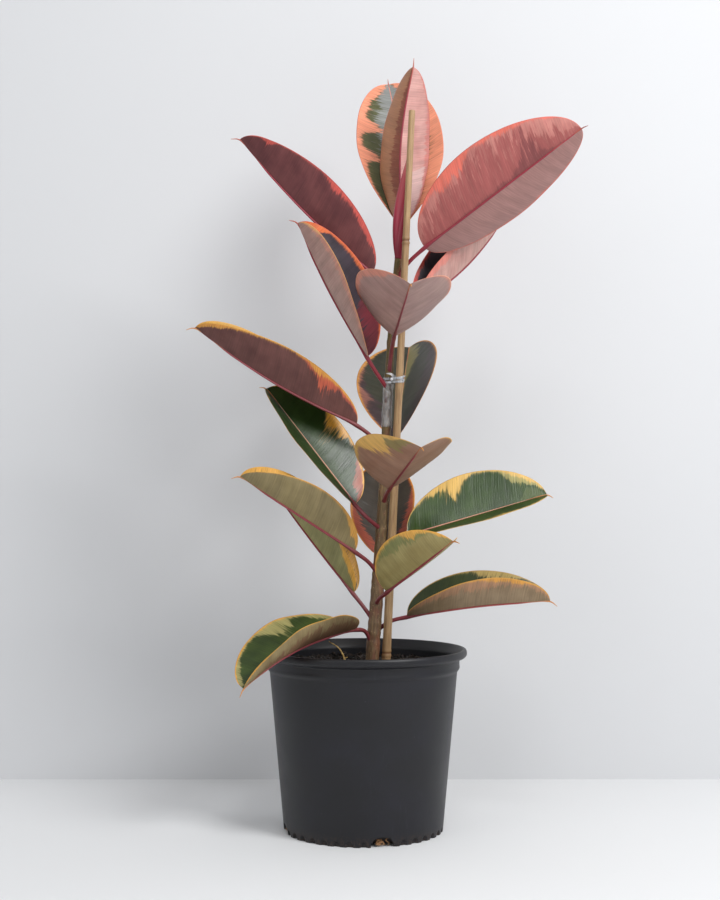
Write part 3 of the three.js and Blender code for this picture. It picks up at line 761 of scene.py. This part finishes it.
def leaf_material(leaf, label, look, glossy):
    """The colours of one side of a leaf: ground, ragged patches between the side veins, midrib and rim."""
    ground, second, rim, midrib, patches = look
    seed = leaf.chance.uniform(0, 90)
    paint = Paint(f"{leaf.name}_{label}")
    rib, across, edge = paint.split(paint.attribute("place"))
    share, half_width, _ = paint.split(paint.attribute("share"))
    reach = 1 - edge
    right = paint.math("GREATER_THAN", across, 0.0)
    cloud = paint.noise(paint.vector(rib * 0.03, across * 0.04, seed), 1, 3)
    coarse = paint.noise(paint.vector(rib * 0.075, across * 0.016, seed), 1, 2)
    fine = paint.noise(paint.vector(rib * 0.33, across * 0.03, seed + 5), 1, 3, 0.65)
    streak = paint.noise(paint.vector(rib * 0.9, across * 0.028, seed + 9), 1, 2, 0.6)
    ragged = coarse * 1.9 + fine * 1.7 - 1.8
    feather = fine * 2.2 + streak * 2.4 - 2.3
    colour = paint.mix(paint.ramp(cloud, [(0.35, 0.0), (0.65, 1.0)]), ground, second)
    for tint, source, left_stops, right_stops, jag in patches:
        depths = [depth_ramp(paint, share, stops) for stops in (left_stops, right_stops)]
        depth = paint.blend(right, *depths)
        start = (edge if source == "edge" else reach) + 0.02
        reached = depth * (ragged * jag + 1)
        fringe = depth * (feather * (jag * 1.3) + 0.95)
        mask = paint.soft_step(reached - start, 0.05) * 0.62
        mask = mask + paint.soft_step(fringe - start, 0.12) * 0.38
        colour = paint.mix(mask, colour, tint)
    band = paint.noise(paint.vector(rib * 0.11, across * 0.02, seed + 3), 1, 2)
    shade = streak * 0.5 + (band * 0.6 + 0.42)
    wavy = rib * (2 * math.pi / SIDE_VEIN_SPACING) + fine * 5.0
    ridge = paint.math("SINE", wavy)
    shade = shade + ridge * 0.03
    rib_edge = 1.6 - share * 1.1 - paint.math("ABSOLUTE", across)
    colour = paint.mix(paint.soft_step(rib_edge, 0.5), paint.scaled(colour, shade), midrib)
    rim_edge = fine * 1.6 + 0.25 - edge * half_width
    colour = paint.mix(paint.soft_step(rim_edge, 0.6), colour, rim)
    relief = ridge * 0.12 + (streak * 1.2 + band * 2.5)
    paint.set(
        Base_Color=colour,
        Roughness=streak * 0.2 + (0.22 if glossy else 0.4),
        Normal=paint.bump(relief, 0.28 if glossy else 0.16, 0.6),
        Specular_IOR_Level=0.4 if glossy else 0.35,
    )
    if glossy:
        paint.set(Coat_Weight=0.1, Coat_Roughness=0.2)
    return paint.material


def vein_material(leaf):
    """The stalk and midrib, from the stem end to the tip."""
    paint = Paint(f"{leaf.name}_vein")
    along, _, _ = paint.split(paint.attribute("share"))
    far, _, _ = paint.split(paint.attribute("place"))
    cloud = paint.noise(paint.object_place((0.15, 0.15, 0.15)), 1, 3)
    stalk, middle, tip = leaf.vein
    near = middle if leaf.slot == "leaf_mature" else stalk
    colour = paint.ramp(along, [(0.0, stalk), (0.25, near), (0.75, middle), (1.0, tip)])
    colour = paint.scaled(colour, cloud * 0.5 + 0.72)
    grain = paint.noise(paint.vector(far * 0.2, along, cloud), 4, 3)
    paint.set(
        Base_Color=colour, Roughness=cloud * 0.2 + 0.3,
        Normal=paint.bump(grain, 0.25, 0.4),
    )
    return paint.material


for numbers in LEAVES:
    leaf = Leaf(numbers)
    materials = [
        leaf_material(leaf, "upper", leaf.upper, True),
        leaf_material(leaf, "under", leaf.under, False),
        vein_material(leaf),
    ]
    node = "leaf_" + leaf.name
    finish_piece(leaf_shape(leaf).make(node + "_detail", materials), [node])


# ---------- pot ----------
def rounded(profile, radius, steps=6):
    """A profile with its corners rounded off, and its straights cut into short steps."""
    points = [np.array(p, float) for p in profile]
    made = [points[0]]
    for before, corner, after in zip(points, points[1:], points[2:]):
        reach = min(radius, np.linalg.norm(corner - before) * 0.45, np.linalg.norm(after - corner) * 0.45)
        start = corner + unit(before - corner) * reach
        end = corner + unit(after - corner) * reach
        for t in np.linspace(0, 1, steps):
            made.append(start * (1 - t) ** 2 + corner * 2 * t * (1 - t) + end * t**2)
    made.append(points[-1])
    return made


def inside_radius(height):
    body = POT_BASE_RADIUS + (POT_BODY_TOP_RADIUS - POT_BASE_RADIUS) * min(height / BODY_TOP, 1)
    return body + POT_BAND_STEP * min(max((height - BODY_TOP) / POT_CHAMFER, 0), 1) - POT_WALL


def wall_radius(height):
    return inside_radius(height) + POT_WALL


def pot_profile():
    foot = [(POT_BASE_RADIUS - 9, INNER_FOOT), (POT_BASE_RADIUS - 7, 0), (POT_BASE_RADIUS, 0)]
    rows = [(wall_radius(z), z) for z in np.arange(0.8, SCALLOP_HEIGHT + 1.6, 0.7)]
    wall = [(wall_radius(z), z) for z in range(14, int(BODY_TOP) - 8, 8)]
    top = rounded([
        (wall_radius(BODY_TOP - 6), BODY_TOP - 6),
        (POT_BODY_TOP_RADIUS, BODY_TOP),
        (BAND_RADIUS, BAND_BOTTOM),
        (BAND_RADIUS + 0.4, BAND_BOTTOM + 2.2),
        (BAND_RADIUS, BAND_BOTTOM + 4.5),
        (BAND_RADIUS, BAND_TOP),
        (LIP_RADIUS - 3, BAND_TOP + POT_WALL),
        (LIP_RADIUS, BAND_TOP + POT_WALL + 3),
        (LIP_RADIUS, POT_HEIGHT - 3),
        (LIP_RADIUS - 1.5, POT_HEIGHT),
        (LIP_RADIUS - 5, POT_HEIGHT),
        (inside_radius(BAND_TOP) + 1, BAND_TOP + 3),
        (inside_radius(BAND_TOP), BAND_TOP),
        (inside_radius(BAND_BOTTOM), BAND_BOTTOM),
        (inside_radius(BODY_TOP), BODY_TOP),
        (inside_radius(BODY_TOP - 10), BODY_TOP - 10),
    ], 1.6)
    inner = [(inside_radius(z), z) for z in range(int(BODY_TOP) - 20, int(INNER_FLOOR), -20)]
    return foot + rows + wall + [tuple(p) for p in top] + inner + [(inside_radius(INNER_FLOOR), INNER_FLOOR)]


INNER_FOOT = 3.5
INNER_FLOOR = 10.5


def lathed(profile, segments, low_centre, high_centre):
    """A closed turned solid, whose first and last rings each close to a centre point."""
    turn = circle(segments)
    rings = [np.column_stack([r * np.cos(turn), r * np.sin(turn), np.full(segments, z)]) for r, z in profile]
    vertices = np.vstack([*rings, [[0, 0, low_centre]], [[0, 0, high_centre]]])
    return vertices, capped_faces(len(profile), segments)


def scalloped(vertices):
    """The foot of the wall with a row of small arched notches round it."""
    x, y, z = vertices.T
    radius = np.hypot(x, y)
    phase = (np.arctan2(y, x) / (2 * math.pi) * SCALLOPS) % 1
    away = np.abs(phase - 0.5) * 2
    inside = 1 - ((away / 0.52) ** 2 + (z / SCALLOP_HEIGHT) ** 2)
    depth = np.clip(inside * 4, 0, 1) * SCALLOP_DEPTH
    outer = (radius > POT_BASE_RADIUS - 3) & (z < SCALLOP_HEIGHT + 2)
    scale = np.where(outer, (radius - depth) / np.maximum(radius, 1), 1)
    return np.column_stack([x * scale, y * scale, z])


def cut(piece, cutter_shape):
    """Takes a closed shape out of a piece, for good."""
    cutter = cutter_shape.make("cutter", [])
    modifier = piece.modifiers.new("cut", "BOOLEAN")
    modifier.operation = "DIFFERENCE"
    modifier.solver = "EXACT"
    modifier.object = cutter
    graph = bpy.context.evaluated_depsgraph_get()
    mesh = bpy.data.meshes.new_from_object(piece.evaluated_get(graph))
    piece.modifiers.clear()
    piece.data = mesh
    bpy.data.objects.remove(cutter)


def drain_cutters():
    shape = Shape()
    half = DRAIN_WIDTH / 2
    arch = [(-half, -2), (half, -2)] + [
        (half * math.cos(a), DRAIN_HEIGHT * max(math.sin(a), 0) ** 0.8) for a in np.linspace(0, math.pi, 24)
    ]
    for i in range(DRAIN_COUNT):
        heading = math.radians(DRAIN_FIRST_HEADING + 360 / DRAIN_COUNT * i)
        outward = np.array([math.cos(heading), math.sin(heading), 0])
        across = np.array([-math.sin(heading), math.cos(heading), 0])
        ends = (POT_BASE_RADIUS - 11, POT_BASE_RADIUS + 9)
        rings = [[outward * far + across * a + UP * z for a, z in arch] for far in ends]
        count = len(arch)
        faces = [(j, (j + 1) % count, count + (j + 1) % count, count + j) for j in range(count)]
        faces += [tuple(range(count))[::-1], tuple(range(count, 2 * count))]
        shape.add(np.array(rings).reshape(-1, 3), faces)
    return shape


def pot_material():
    paint = Paint("pot_scuffed_plastic")
    cloud = paint.noise(paint.object_place((0.012, 0.012, 0.016)), 1, 4, 0.6)
    scratch = paint.noise(paint.object_place((0.25, 0.25, 0.02)), 1, 5, 0.7)
    speck = paint.noise(paint.object_place((0.35, 0.35, 0.35)), 1, 2, 0.6)
    grain = paint.noise(paint.object_place((2, 2, 2)), 1, 2)
    height = paint.height()
    colour = paint.ramp(cloud, [(0.3, "0c0c11"), (0.5, "101016"), (0.72, "171720")])
    scuffs = paint.ramp(scratch, [(0.6, 0.0), (0.74, 1.0)]) * paint.ramp(cloud, [(0.45, 0.0), (0.7, 0.5)])
    colour = paint.mix(scuffs, colour, "3a3a42")
    colour = paint.mix(paint.ramp(speck, [(0.74, 0.0), (0.78, 0.55)]), colour, "55555c")
    dirt = paint.soft_step(9 - height, 14) * paint.ramp(speck, [(0.45, 0.0), (0.65, 0.8)])
    colour = paint.mix(dirt, colour, "3b2c22")
    rough = cloud * 0.3 + (scuffs * 0.2 + 0.3)
    paint.set(
        Base_Color=colour, Roughness=rough, Specular_IOR_Level=0.45,
        Normal=paint.bump(grain + scratch * 0.8, 0.12, 0.5),
    )
    return paint.material


pot = Shape()
pot_vertices, pot_faces = lathed(pot_profile(), POT_SEGMENTS, INNER_FOOT, INNER_FLOOR)
pot.add(scalloped(pot_vertices), pot_faces)
pot_piece = pot.make("nursery_pot_detail", [pot_material()])
cut(pot_piece, drain_cutters())
for polygon in pot_piece.data.polygons:
    polygon.use_smooth = True
finish_piece(pot_piece, ["nursery_pot"])


# ---------- soil, with bark chips and the roots at the drain holes ----------
SOIL_TOP = SOIL_LEVEL - 3.2
CHIP_COUNT = 2600
CHIP_SIZES = (3, 4, 4, 5, 6, 8, 10)
ROOTS_IN_HOLE = 9


def soil_height(x, y, waves):
    return SOIL_TOP + sum(size * np.sin(a * x + b * y + c) for a, b, c, size in waves)


def chip(shape, chance, centre, size):
    """A small broken lump with flat faces."""
    stretch = [size * chance.uniform(*ends) for ends in ((0.6, 1.3), (0.5, 1), (0.3, 0.6))]
    corners = []
    for x in (-1, 1):
        for y in (-1, 1):
            for z in (-1, 1):
                corners.append([c * s * chance.uniform(0.55, 1) / 2 for c, s in zip((x, y, z), stretch)])
    points = np.array(corners)
    axis = unit([chance.gauss(0, 1), chance.gauss(0, 1), chance.gauss(0, 1)])
    points = np.array([turned_about(p, axis, chance.uniform(0, 6.3)) for p in points]) + centre
    faces = [(0, 1, 3, 2), (4, 6, 7, 5), (0, 4, 5, 1), (2, 3, 7, 6), (0, 2, 6, 4), (1, 5, 7, 3)]
    shape.add(points, faces)


def soil_shape():
    chance = random.Random(5)
    ranges = [(-0.3, 0.3), (-0.3, 0.3), (0, 6), (0.2, 0.5)]
    waves = [[chance.uniform(*ends) for ends in ranges] for _ in range(12)]
    low = INNER_FLOOR + SEAT_GAP
    edge = inside_radius(SOIL_LEVEL) - SEAT_GAP
    profile = [(inside_radius(low) - SEAT_GAP, low), (inside_radius(BODY_TOP) - SEAT_GAP, BODY_TOP)]
    profile += [(edge, SOIL_LEVEL - 6)] + [(edge * share, SOIL_TOP) for share in np.linspace(1, 0.02, 60)]
    vertices, faces = lathed(profile, 180, low, SOIL_TOP)
    x, y, z = vertices.T
    surface = z > SOIL_LEVEL - 4
    vertices[:, 2] = np.where(surface, soil_height(x, y, waves), z)
    shape = Shape()
    shape.add(vertices, faces)
    for _ in range(CHIP_COUNT):
        far = math.sqrt(chance.random()) * (edge - 5)
        turn = chance.uniform(0, 2 * math.pi)
        x, y = far * math.cos(turn), far * math.sin(turn)
        size = chance.choice(CHIP_SIZES)
        chip(shape, chance, np.array([x, y, soil_height(x, y, waves) + chance.uniform(-0.4, 0.9)]), size)
    for i in range(DRAIN_COUNT):
        heading = DRAIN_FIRST_HEADING + 360 / DRAIN_COUNT * i
        for _ in range(ROOTS_IN_HOLE):
            root = root_line(chance, heading)
            shape.add_tube(root, np.linspace(0.75, 0.3, len(root)), 6, 1)
    return shape


def root_line(chance, heading):
    """A thin root that bends about in a drain hole."""
    points = []
    spread = chance.uniform(-6, 6)
    for k in range(5):
        at = math.radians(heading + spread + chance.uniform(-2, 2))
        far = POT_BASE_RADIUS - 6 + k + chance.uniform(-1, 1)
        points.append((far * math.cos(at), far * math.sin(at), 9.5 - 1.7 * k + chance.uniform(-0.8, 0.8)))
    return smooth_line(points, 22)


def soil_material():
    paint = Paint("soil_and_bark")
    cloud = paint.noise(paint.object_place((0.1, 0.1, 0.1)), 1, 3)
    grain = paint.noise(paint.object_place((0.9, 0.9, 0.9)), 1, 4, 0.7)
    colour = paint.ramp(cloud, [(0.35, "130f0d"), (0.5, "231b16"), (0.62, "35281f"), (0.75, "1a1411")])
    colour = paint.mix(paint.ramp(grain, [(0.66, 0.0), (0.74, 0.4)]), colour, "5c4a3a")
    paint.set(Base_Color=colour, Roughness=grain * 0.3 + 0.65, Normal=paint.bump(grain, 0.8, 0.8))
    return paint.material


def root_material():
    paint = Paint("roots")
    grain = paint.noise(paint.object_place((0.5, 0.5, 0.5)), 1, 3)
    colour = paint.ramp(grain, [(0.3, "6e4a30"), (0.7, "b78a5c")])
    paint.set(Base_Color=colour, Roughness=grain * 0.2 + 0.55, Normal=paint.bump(grain, 0.2, 0.5))
    return paint.material


finish_piece(soil_shape().make("potting_soil_detail", [soil_material(), root_material()], smooth=False),
             ["potting_soil"])


# ---------- stem, stake and bud ----------
LEAF_SCARS = [248, 318, 352, 452, 540, 655]


def stem_shape():
    line = STEM_LINE
    nodes = [numbers["node"] for numbers in LEAVES] + LEAF_SCARS
    swell = np.zeros(len(line))
    for height in nodes:
        swell += np.exp(-(((line[:, 2] - height) / 4) ** 2)) * 0.7
        swell -= np.exp(-(((line[:, 2] - height - 5) / 1.5) ** 2)) * 0.35
    sides = 40
    turn = circle(sides)[None]
    radii = (stem_radius(line[:, 2]) - 0.5 + swell * 0.8)[:, None]
    lean = line[:, 2:] * 0.02
    radii = radii + 0.16 * np.sin(5 * turn + lean) + 0.12 * np.sin(11 * turn - lean * 1.7)
    shape = Shape()
    shape.add_tube(line, radii, sides, placed=True)
    return shape


def stem_material():
    paint = Paint("stem_bark")
    far, cos, sin = paint.split(paint.attribute("place"))
    height = paint.height()
    streak = paint.noise(paint.vector(far * 0.04, cos * 2.5, sin * 2.5), 2, 4, 0.6)
    cloud = paint.noise(paint.vector(far * 0.05, cos, sin), 1, 3)
    dot = paint.noise(paint.vector(far * 0.5, cos * 4, sin * 4), 1, 1)
    climb = paint.math("DIVIDE", height - 220, 560)
    low = paint.ramp(streak, [(0.3, "4a3829"), (0.5, "6f563c"), (0.72, "8c7351")])
    high = paint.ramp(streak, [(0.3, "4b401e"), (0.55, "67592b"), (0.75, "88753d")])
    colour = paint.mix(paint.ramp(climb, [(0.1, 0.0), (0.85, 1.0)]), low, high)
    colour = paint.mix(paint.ramp(cloud, [(0.5, 0.0), (0.68, 0.6)]), colour, "7e4835")
    colour = paint.mix(paint.ramp(dot, [(0.7, 0.0), (0.75, 0.6)]), colour, "ccb182")
    paint.set(
        Base_Color=colour, Roughness=streak * 0.3 + 0.4,
        Normal=paint.bump(streak + dot * 0.6, 0.5, 0.6),
    )
    return paint.material


def stake_share(height):
    return (height - STAKE_FOOT[2]) / (STAKE_TOP[2] - STAKE_FOOT[2])


def along_stake(height):
    return np.array(STAKE_FOOT) + (np.array(STAKE_TOP) - np.array(STAKE_FOOT)) * stake_share(height)


def stake_radius(height):
    return STAKE_RADII[0] + (STAKE_RADII[1] - STAKE_RADII[0]) * stake_share(height)


STAKE_JOINTS = (232, 478, 787)
STAKE_HOLLOW = 12
# Each is size, rise over the joint and width.
JOINT_BUMPS = [(0.75, 0, 1.6), (-0.4, 3.4, 1.1), (0.5, 6, 1.5), (0.2, 0, 22)]


def stake_shape():
    """A bamboo cane with its joints, cut straight across at the top so that its hollow shows."""
    heights = np.linspace(STAKE_FOOT[2], STAKE_TOP[2] - 0.2, 420)
    centres = np.array([along_stake(z) for z in heights])
    radii = stake_radius(heights) - 0.35
    for joint in STAKE_JOINTS:
        for size, rise, width in JOINT_BUMPS:
            radii = radii + size * np.exp(-(((heights - joint - rise) / width) ** 2))
    inner = radii[-1] * 0.45
    line = np.vstack([centres, centres[-1:], centres[-1:] - UP * 0.4, centres[-1:] - UP * STAKE_HOLLOW])
    line[-3] += UP * 0.2
    sides = 36
    turn = circle(sides)[None]
    ridges = 0.1 * np.sin(7 * turn + 0.4) + 0.07 * np.sin(13 * turn)
    rings = np.concatenate([radii, [radii[-1] - 0.3, inner, inner * 0.9]])[:, None] + ridges
    tangent = unit(centres[-1] - centres[0])
    right = unit(np.array([0.0, 1.0, 0.0]) - tangent * tangent[1])
    over = np.cross(tangent, right)
    spokes = right * np.cos(turn)[..., None] + over * np.sin(turn)[..., None]
    points = line[:, None] + spokes * rings[..., None]
    vertices = np.vstack([points.reshape(-1, 3), line[:1], line[-1:]])
    shape = Shape()
    shape.add(vertices, capped_faces(len(line), sides), 0, tube_place(line, sides))
    return shape


def bamboo_material():
    paint = Paint("bamboo_cane")
    far, cos, sin = paint.split(paint.attribute("place"))
    height = paint.height()
    fibre = paint.noise(paint.vector(far * 0.012, cos * 5, sin * 5), 3, 4, 0.6)
    cloud = paint.noise(paint.vector(far * 0.02, cos, sin), 1, 3)
    colour = paint.ramp(fibre, [(0.25, "7e6042"), (0.45, "a3815a"), (0.62, "b99a70"), (0.8, "cfb48c")])
    colour = paint.mix(paint.ramp(cloud, [(0.52, 0.0), (0.7, 0.65)]), colour, "7a5c40")
    for joint in STAKE_JOINTS:
        for offset, width, amount in ((3.4, 1.3, 0.75), (0.0, 5.0, 0.35), (14.0, 12.0, 0.25)):
            near = paint.math("ABSOLUTE", height - (joint + offset))
            mark = paint.soft_step(width - near, width) * amount
            colour = paint.mix(mark, colour, "6b4526")
    paint.set(
        Base_Color=colour, Roughness=fibre * 0.3 + 0.32,
        Normal=paint.bump(fibre, 0.35, 0.6),
    )
    return paint.material


def bud_shape():
    """The rolled sheath of the next leaf, a spindle with a seam that winds up it."""
    tangent = unit(STEM_LINE[-1] - STEM_LINE[-4])
    foot = STEM_LINE[-1] + tangent * SEAT_GAP
    share = np.linspace(0, 1, 90)
    phase = (0.08 + 0.92 * share) ** 0.85
    swell = np.maximum(BUD_WIDTH / 2 * np.sin(math.pi * phase), 5.2 * (1 - share)) - 0.3
    swell = np.maximum(swell, 0.25)
    line = foot + tangent * (share * BUD_LENGTH)[:, None]
    sides = 40
    turn = circle(sides)[None]
    flat = 1 / np.sqrt(np.cos(turn) ** 2 / BUD_FLATNESS**2 + np.sin(turn) ** 2)
    seam = 1 - 0.09 * np.exp(-((np.angle(np.exp(1j * (turn - 2.2 - share[:, None] * 2))) / 0.16) ** 2))
    shape = Shape()
    shape.add_tube(line, swell[:, None] * flat * seam, sides, placed=True)
    return shape


def bud_material():
    paint = Paint("bud_sheath")
    far, cos, sin = paint.split(paint.attribute("place"))
    streak = paint.noise(paint.vector(far * 0.02, cos * 4, sin * 4), 2, 3)
    climb = far * (1 / BUD_LENGTH)
    colour = paint.ramp(climb, [(0.0, "8a1e34"), (0.4, "a82a44"), (0.8, "b9484f"), (1.0, "c8706a")])
    colour = paint.scaled(colour, streak * 0.6 + 0.68)
    paint.set(Base_Color=colour, Roughness=streak * 0.2 + 0.28,
              Normal=paint.bump(streak, 0.3, 0.5), Coat_Weight=0.2, Coat_Roughness=0.2)
    return paint.material


finish_piece(stem_shape().make("stem_detail", [stem_material()]), ["stem"])
finish_piece(stake_shape().make("bamboo_stake_detail", [bamboo_material()]), ["bamboo_stake"])
finish_piece(bud_shape().make("bud_sheath_detail", [bud_material()]), ["bud_sheath"])


# ---------- dry twig ----------
def twig_shape():
    shape = Shape()
    main = smooth_line(TWIG, 40)
    share = np.linspace(0, 1, len(main))
    shape.add_tube(main, TWIG_RADIUS * (1 - 0.55 * share) * (1 + 0.14 * np.sin(share * 40)), 12)
    fork = smooth_line([main[8], main[8] + (2.5, -1.5, 1.5), main[8] + (5, -2, 2)], 16)
    shape.add_tube(fork, np.linspace(0.9, 0.3, 16), 10)
    return shape


def twig_material():
    paint = Paint("dry_twig")
    grain = paint.noise(paint.object_place((0.6, 0.6, 0.25)), 1, 4)
    colour = paint.ramp(grain, [(0.3, "8a6a3a"), (0.55, "c9a765"), (0.75, "e0c688")])
    paint.set(Base_Color=colour, Roughness=grain * 0.3 + 0.5, Normal=paint.bump(grain, 0.3, 0.6))
    return paint.material


finish_piece(twig_shape().make("dry_twig_detail", [twig_material()]), ["dry_twig"])


# ---------- clear tape ----------
LOOP_TURNS = 1.05
# Each loop is height, margin, tilt and phase. Each end is its reach from the knot and its width.
TAPE_LOOPS = [(606, 1.2, 1.8, -1.6), (602.5, 1.5, -1.4, -1.2), (600, 1.1, 0.6, -2.0)]
TAPE_ENDS = [((-13, -4, 7), 4.5), ((-9, -5, -6), 4), ((9, -4, 9), 5), ((14, -2, 3), 4)]


def ribbon(shape, line, facing, width, thickness=0.35):
    """A flat strip along a line. facing is the way its flat side looks, one direction for each point."""
    tangents = unit(np.gradient(line, axis=0))
    facing = unit(facing - tangents * np.sum(facing * tangents, axis=1, keepdims=True))
    side = np.cross(tangents, facing)
    row = (-1, -0.6, 0, 0.6, 1)
    corners = [(a, -1) for a in row] + [(a, 1) for a in row[::-1]]
    rings = []
    for a, b in corners:
        rings.append(line + side * (a * width / 2) + facing * (b * thickness / 2 + 0.25 * (1 - a * a)))
    points = np.stack(rings, axis=1)
    count = len(corners)
    faces = grid_faces(len(line), count, closed=True)
    faces += [tuple(range(count))[::-1], tuple((len(line) - 1) * count + j for j in range(count))]
    shape.add(points.reshape(-1, 3), faces)


def loop_line(height, margin, tilt, phase):
    """A loop round the stem and the cane, a little slanted, drawn tight like a belt."""
    stem_at, stake_at = stem_centre(height)[:2], along_stake(height)[:2]
    radii = (stem_radius(height) + margin, stake_radius(height) + margin)
    points, outward = [], []
    for turn in np.linspace(phase, phase + 2 * math.pi * LOOP_TURNS, 90):
        ray = np.array([math.cos(turn), math.sin(turn)])
        far = max(at @ ray + radius for at, radius in zip((stem_at, stake_at), radii))
        ahead = np.array([-math.sin(turn), math.cos(turn)])
        on_stake = stake_at @ ray + radii[1] > stem_at @ ray + radii[0]
        slope = stake_at @ ahead if on_stake else stem_at @ ahead
        at = ray * far + ahead * slope
        points.append([*at, height + tilt * math.sin(turn + 0.7)])
        outward.append([*ray, 0])
    line = np.array(points)
    kernel = np.ones(7) / 7
    padded = np.vstack([line[:1]] * 3 + [line] + [line[-1:]] * 3)
    smooth = np.column_stack([np.convolve(padded[:, k], kernel, mode="valid") for k in range(3)])
    return smooth, np.array(outward)


def tape_shape():
    chance = random.Random(8)
    shape = Shape()
    for height, margin, tilt, phase in TAPE_LOOPS:
        line, outward = loop_line(height, margin, tilt, phase)
        ribbon(shape, line, outward, 3.2)
    knot = np.array([stem_centre(604)[0] + 9, -9.0, 604.0])
    for reach, width in TAPE_ENDS:
        tip = knot + np.array(reach)
        middle = knot + np.array(reach) * 0.5 + np.array([0, -1.5, 2.5])
        line = smooth_line([knot, middle, tip], 26)
        twist = np.linspace(0, chance.uniform(1.2, 2.4), 26)
        facing = np.column_stack([np.sin(twist) * 0.8, -np.cos(twist), np.sin(twist) * 0.6])
        ribbon(shape, line, facing, width, 0.3)
    ball = smooth_line([knot + (-2.5, 0, -2), knot + (0, -1.8, 0.5), knot + (2.5, 0, 2)], 20)
    shape.add_tube(ball, 1.0 + 1.6 * np.sin(np.linspace(0, math.pi, 20)), 14)
    heights = np.linspace(TIE_HEIGHT - WRAP_LENGTH, TIE_HEIGHT - 2, 120)
    line = np.array([stem_centre(z) for z in heights])
    sides = 48
    turn = circle(sides)[None]
    climb = heights[:, None]
    creases = 0.35 * np.sin(3 * turn + climb * 0.23) + 0.22 * np.sin(7 * turn - climb * 0.4)
    creases = creases + 0.15 * np.sin(climb * 0.9 + turn)
    outer = stem_radius(heights)[:, None] + 1.1 + creases * 0.8
    inner = outer - 0.4
    outer_vertices, faces = tube(line, outer, sides)
    inner_vertices, _ = tube(line, inner, sides)
    rows = len(line)
    body = rows * sides
    wall = grid_faces(rows, sides, closed=True)
    faces = wall + [tuple(body + n for n in face[::-1]) for face in wall]
    for row, flip in ((0, True), (rows - 1, False)):
        for j in range(sides):
            a, b = row * sides + j, row * sides + (j + 1) % sides
            face = (a, b, body + b, body + a)
            faces.append(face[::-1] if flip else face)
    shape.add(np.vstack([outer_vertices[:body], inner_vertices[:body]]), faces, 1)
    return shape


def tape_material(name, alpha, tint):
    paint = Paint(name)
    crease_and_glint = paint.noise(paint.object_place((0.25, 0.25, 0.12)), 1, 4, 0.6)
    # The crease noise gives real crinkles through roughness and bump. Where it is high the ramp also paints
    # the tape white: painted highlight, the glints on the clear plastic put in as colour.
    colour = paint.ramp(crease_and_glint, [(0.35, tint), (0.6, "e9edf2"), (0.7, "ffffff")])
    paint.set(
        Base_Color=colour, Roughness=crease_and_glint * 0.2 + 0.08, Alpha=alpha,
        Normal=paint.bump(crease_and_glint, 1.0, 0.6), Specular_IOR_Level=0.8,
    )
    return paint.material


finish_piece(tape_shape().make("tie_tape_detail", [
    tape_material("clear_tape", 0.42, "aab0b8"), tape_material("clear_film", 0.22, "6d6470"),
]), ["tie_tape"])


# ---------- stage, light and camera ----------
FLOOR_HALF_WIDTH = 6.0
WALL_DISTANCE = 0.33
WALL_HEIGHT = 4.0
LIGHTS = [  # name, place, what it points at, size, watts
    ("key", (1.6, -1.7, 2.0), (0, 0, 0.5), 1.2, 52),
    ("fill", (-1.8, -2.0, 1.4), (0, 0, 0.4), 2.0, 9),
    ("top", (0.15, -1.15, 1.95), (0.1, 0, 0.5), 0.4, 5),
]
ROOM_COLOUR = (0.97, 0.98, 1.0, 1)
ROOM_STRENGTH = 0.47
CAMERA_LENS = 56.56
CAMERA_PLACE = (-0.0047, -1.913, 0.446)
CAMERA_TILT = 91.86


def stage_plane(name, corners, material):
    mesh = bpy.data.meshes.new(name)
    mesh.from_pydata(corners, [], [(0, 1, 2, 3)])
    mesh.materials.append(material)
    plane = bpy.data.objects.new(name, mesh)
    bpy.context.scene.collection.objects.link(plane)


def stage_material(name, light, dark, see_through):
    paint = Paint(name)
    cloud = paint.noise(paint.object_place((0.001, 0.001, 0.001)), 1, 2)
    colour = paint.ramp(cloud, [(0.3, dark), (0.7, light)])
    paint.set(Base_Color=colour, Roughness=0.85, Specular_IOR_Level=0.1)
    if see_through:
        mixed = paint.node("MixShader")
        paint.tree.links.new(paint.node("NewGeometry").outputs["Backfacing"], mixed.inputs[0])
        paint.tree.links.new(paint.shader.outputs[0], mixed.inputs[1])
        paint.tree.links.new(paint.node("BsdfTransparent").outputs[0], mixed.inputs[2])
        paint.tree.links.new(mixed.outputs[0], paint.tree.nodes["Material Output"].inputs[0])
    return paint.material


half, back, top = FLOOR_HALF_WIDTH, WALL_DISTANCE, WALL_HEIGHT
floor_corners = [(-half, -half, 0), (half, -half, 0), (half, half, 0), (-half, half, 0)]
wall_corners = [(-half, back, 0), (half, back, 0), (half, back, top), (-half, back, top)]
stage_plane("floor", floor_corners, stage_material("pale_floor", "e9eaeb", "e7e8e9", False))
stage_plane("wall", wall_corners, stage_material("pale_wall", "d9dadc", "d7d8da", True))


def area_light(name, place, aim, size, watts):
    light = bpy.data.lights.new(name, "AREA")
    light.shape = "DISK"
    light.size = size
    light.energy = watts
    lamp = bpy.data.objects.new(name, light)
    direction = np.array(aim, float) - np.array(place, float)
    yaw = math.atan2(direction[1], direction[0])
    pitch = math.atan2(direction[2], math.hypot(direction[0], direction[1]))
    lamp.rotation_euler = (math.pi / 2 + pitch, 0, yaw - math.pi / 2)
    lamp.location = place
    bpy.context.scene.collection.objects.link(lamp)


for numbers in LIGHTS:
    area_light(*numbers)

world = bpy.data.worlds.new("pale_room")
world.use_nodes = True
world.node_tree.nodes["Background"].inputs[0].default_value = ROOM_COLOUR
world.node_tree.nodes["Background"].inputs[1].default_value = ROOM_STRENGTH
bpy.context.scene.world = world
bpy.context.scene.view_settings.view_transform = "Standard"

camera = bpy.data.cameras.new("camera")
camera.lens = CAMERA_LENS
camera.sensor_width = 36
camera.dof.use_dof = False
viewer = bpy.data.objects.new("camera", camera)
viewer.location = CAMERA_PLACE
viewer.rotation_euler = (math.radians(CAMERA_TILT), 0, 0)
bpy.context.scene.collection.objects.link(viewer)
bpy.context.scene.camera = viewer
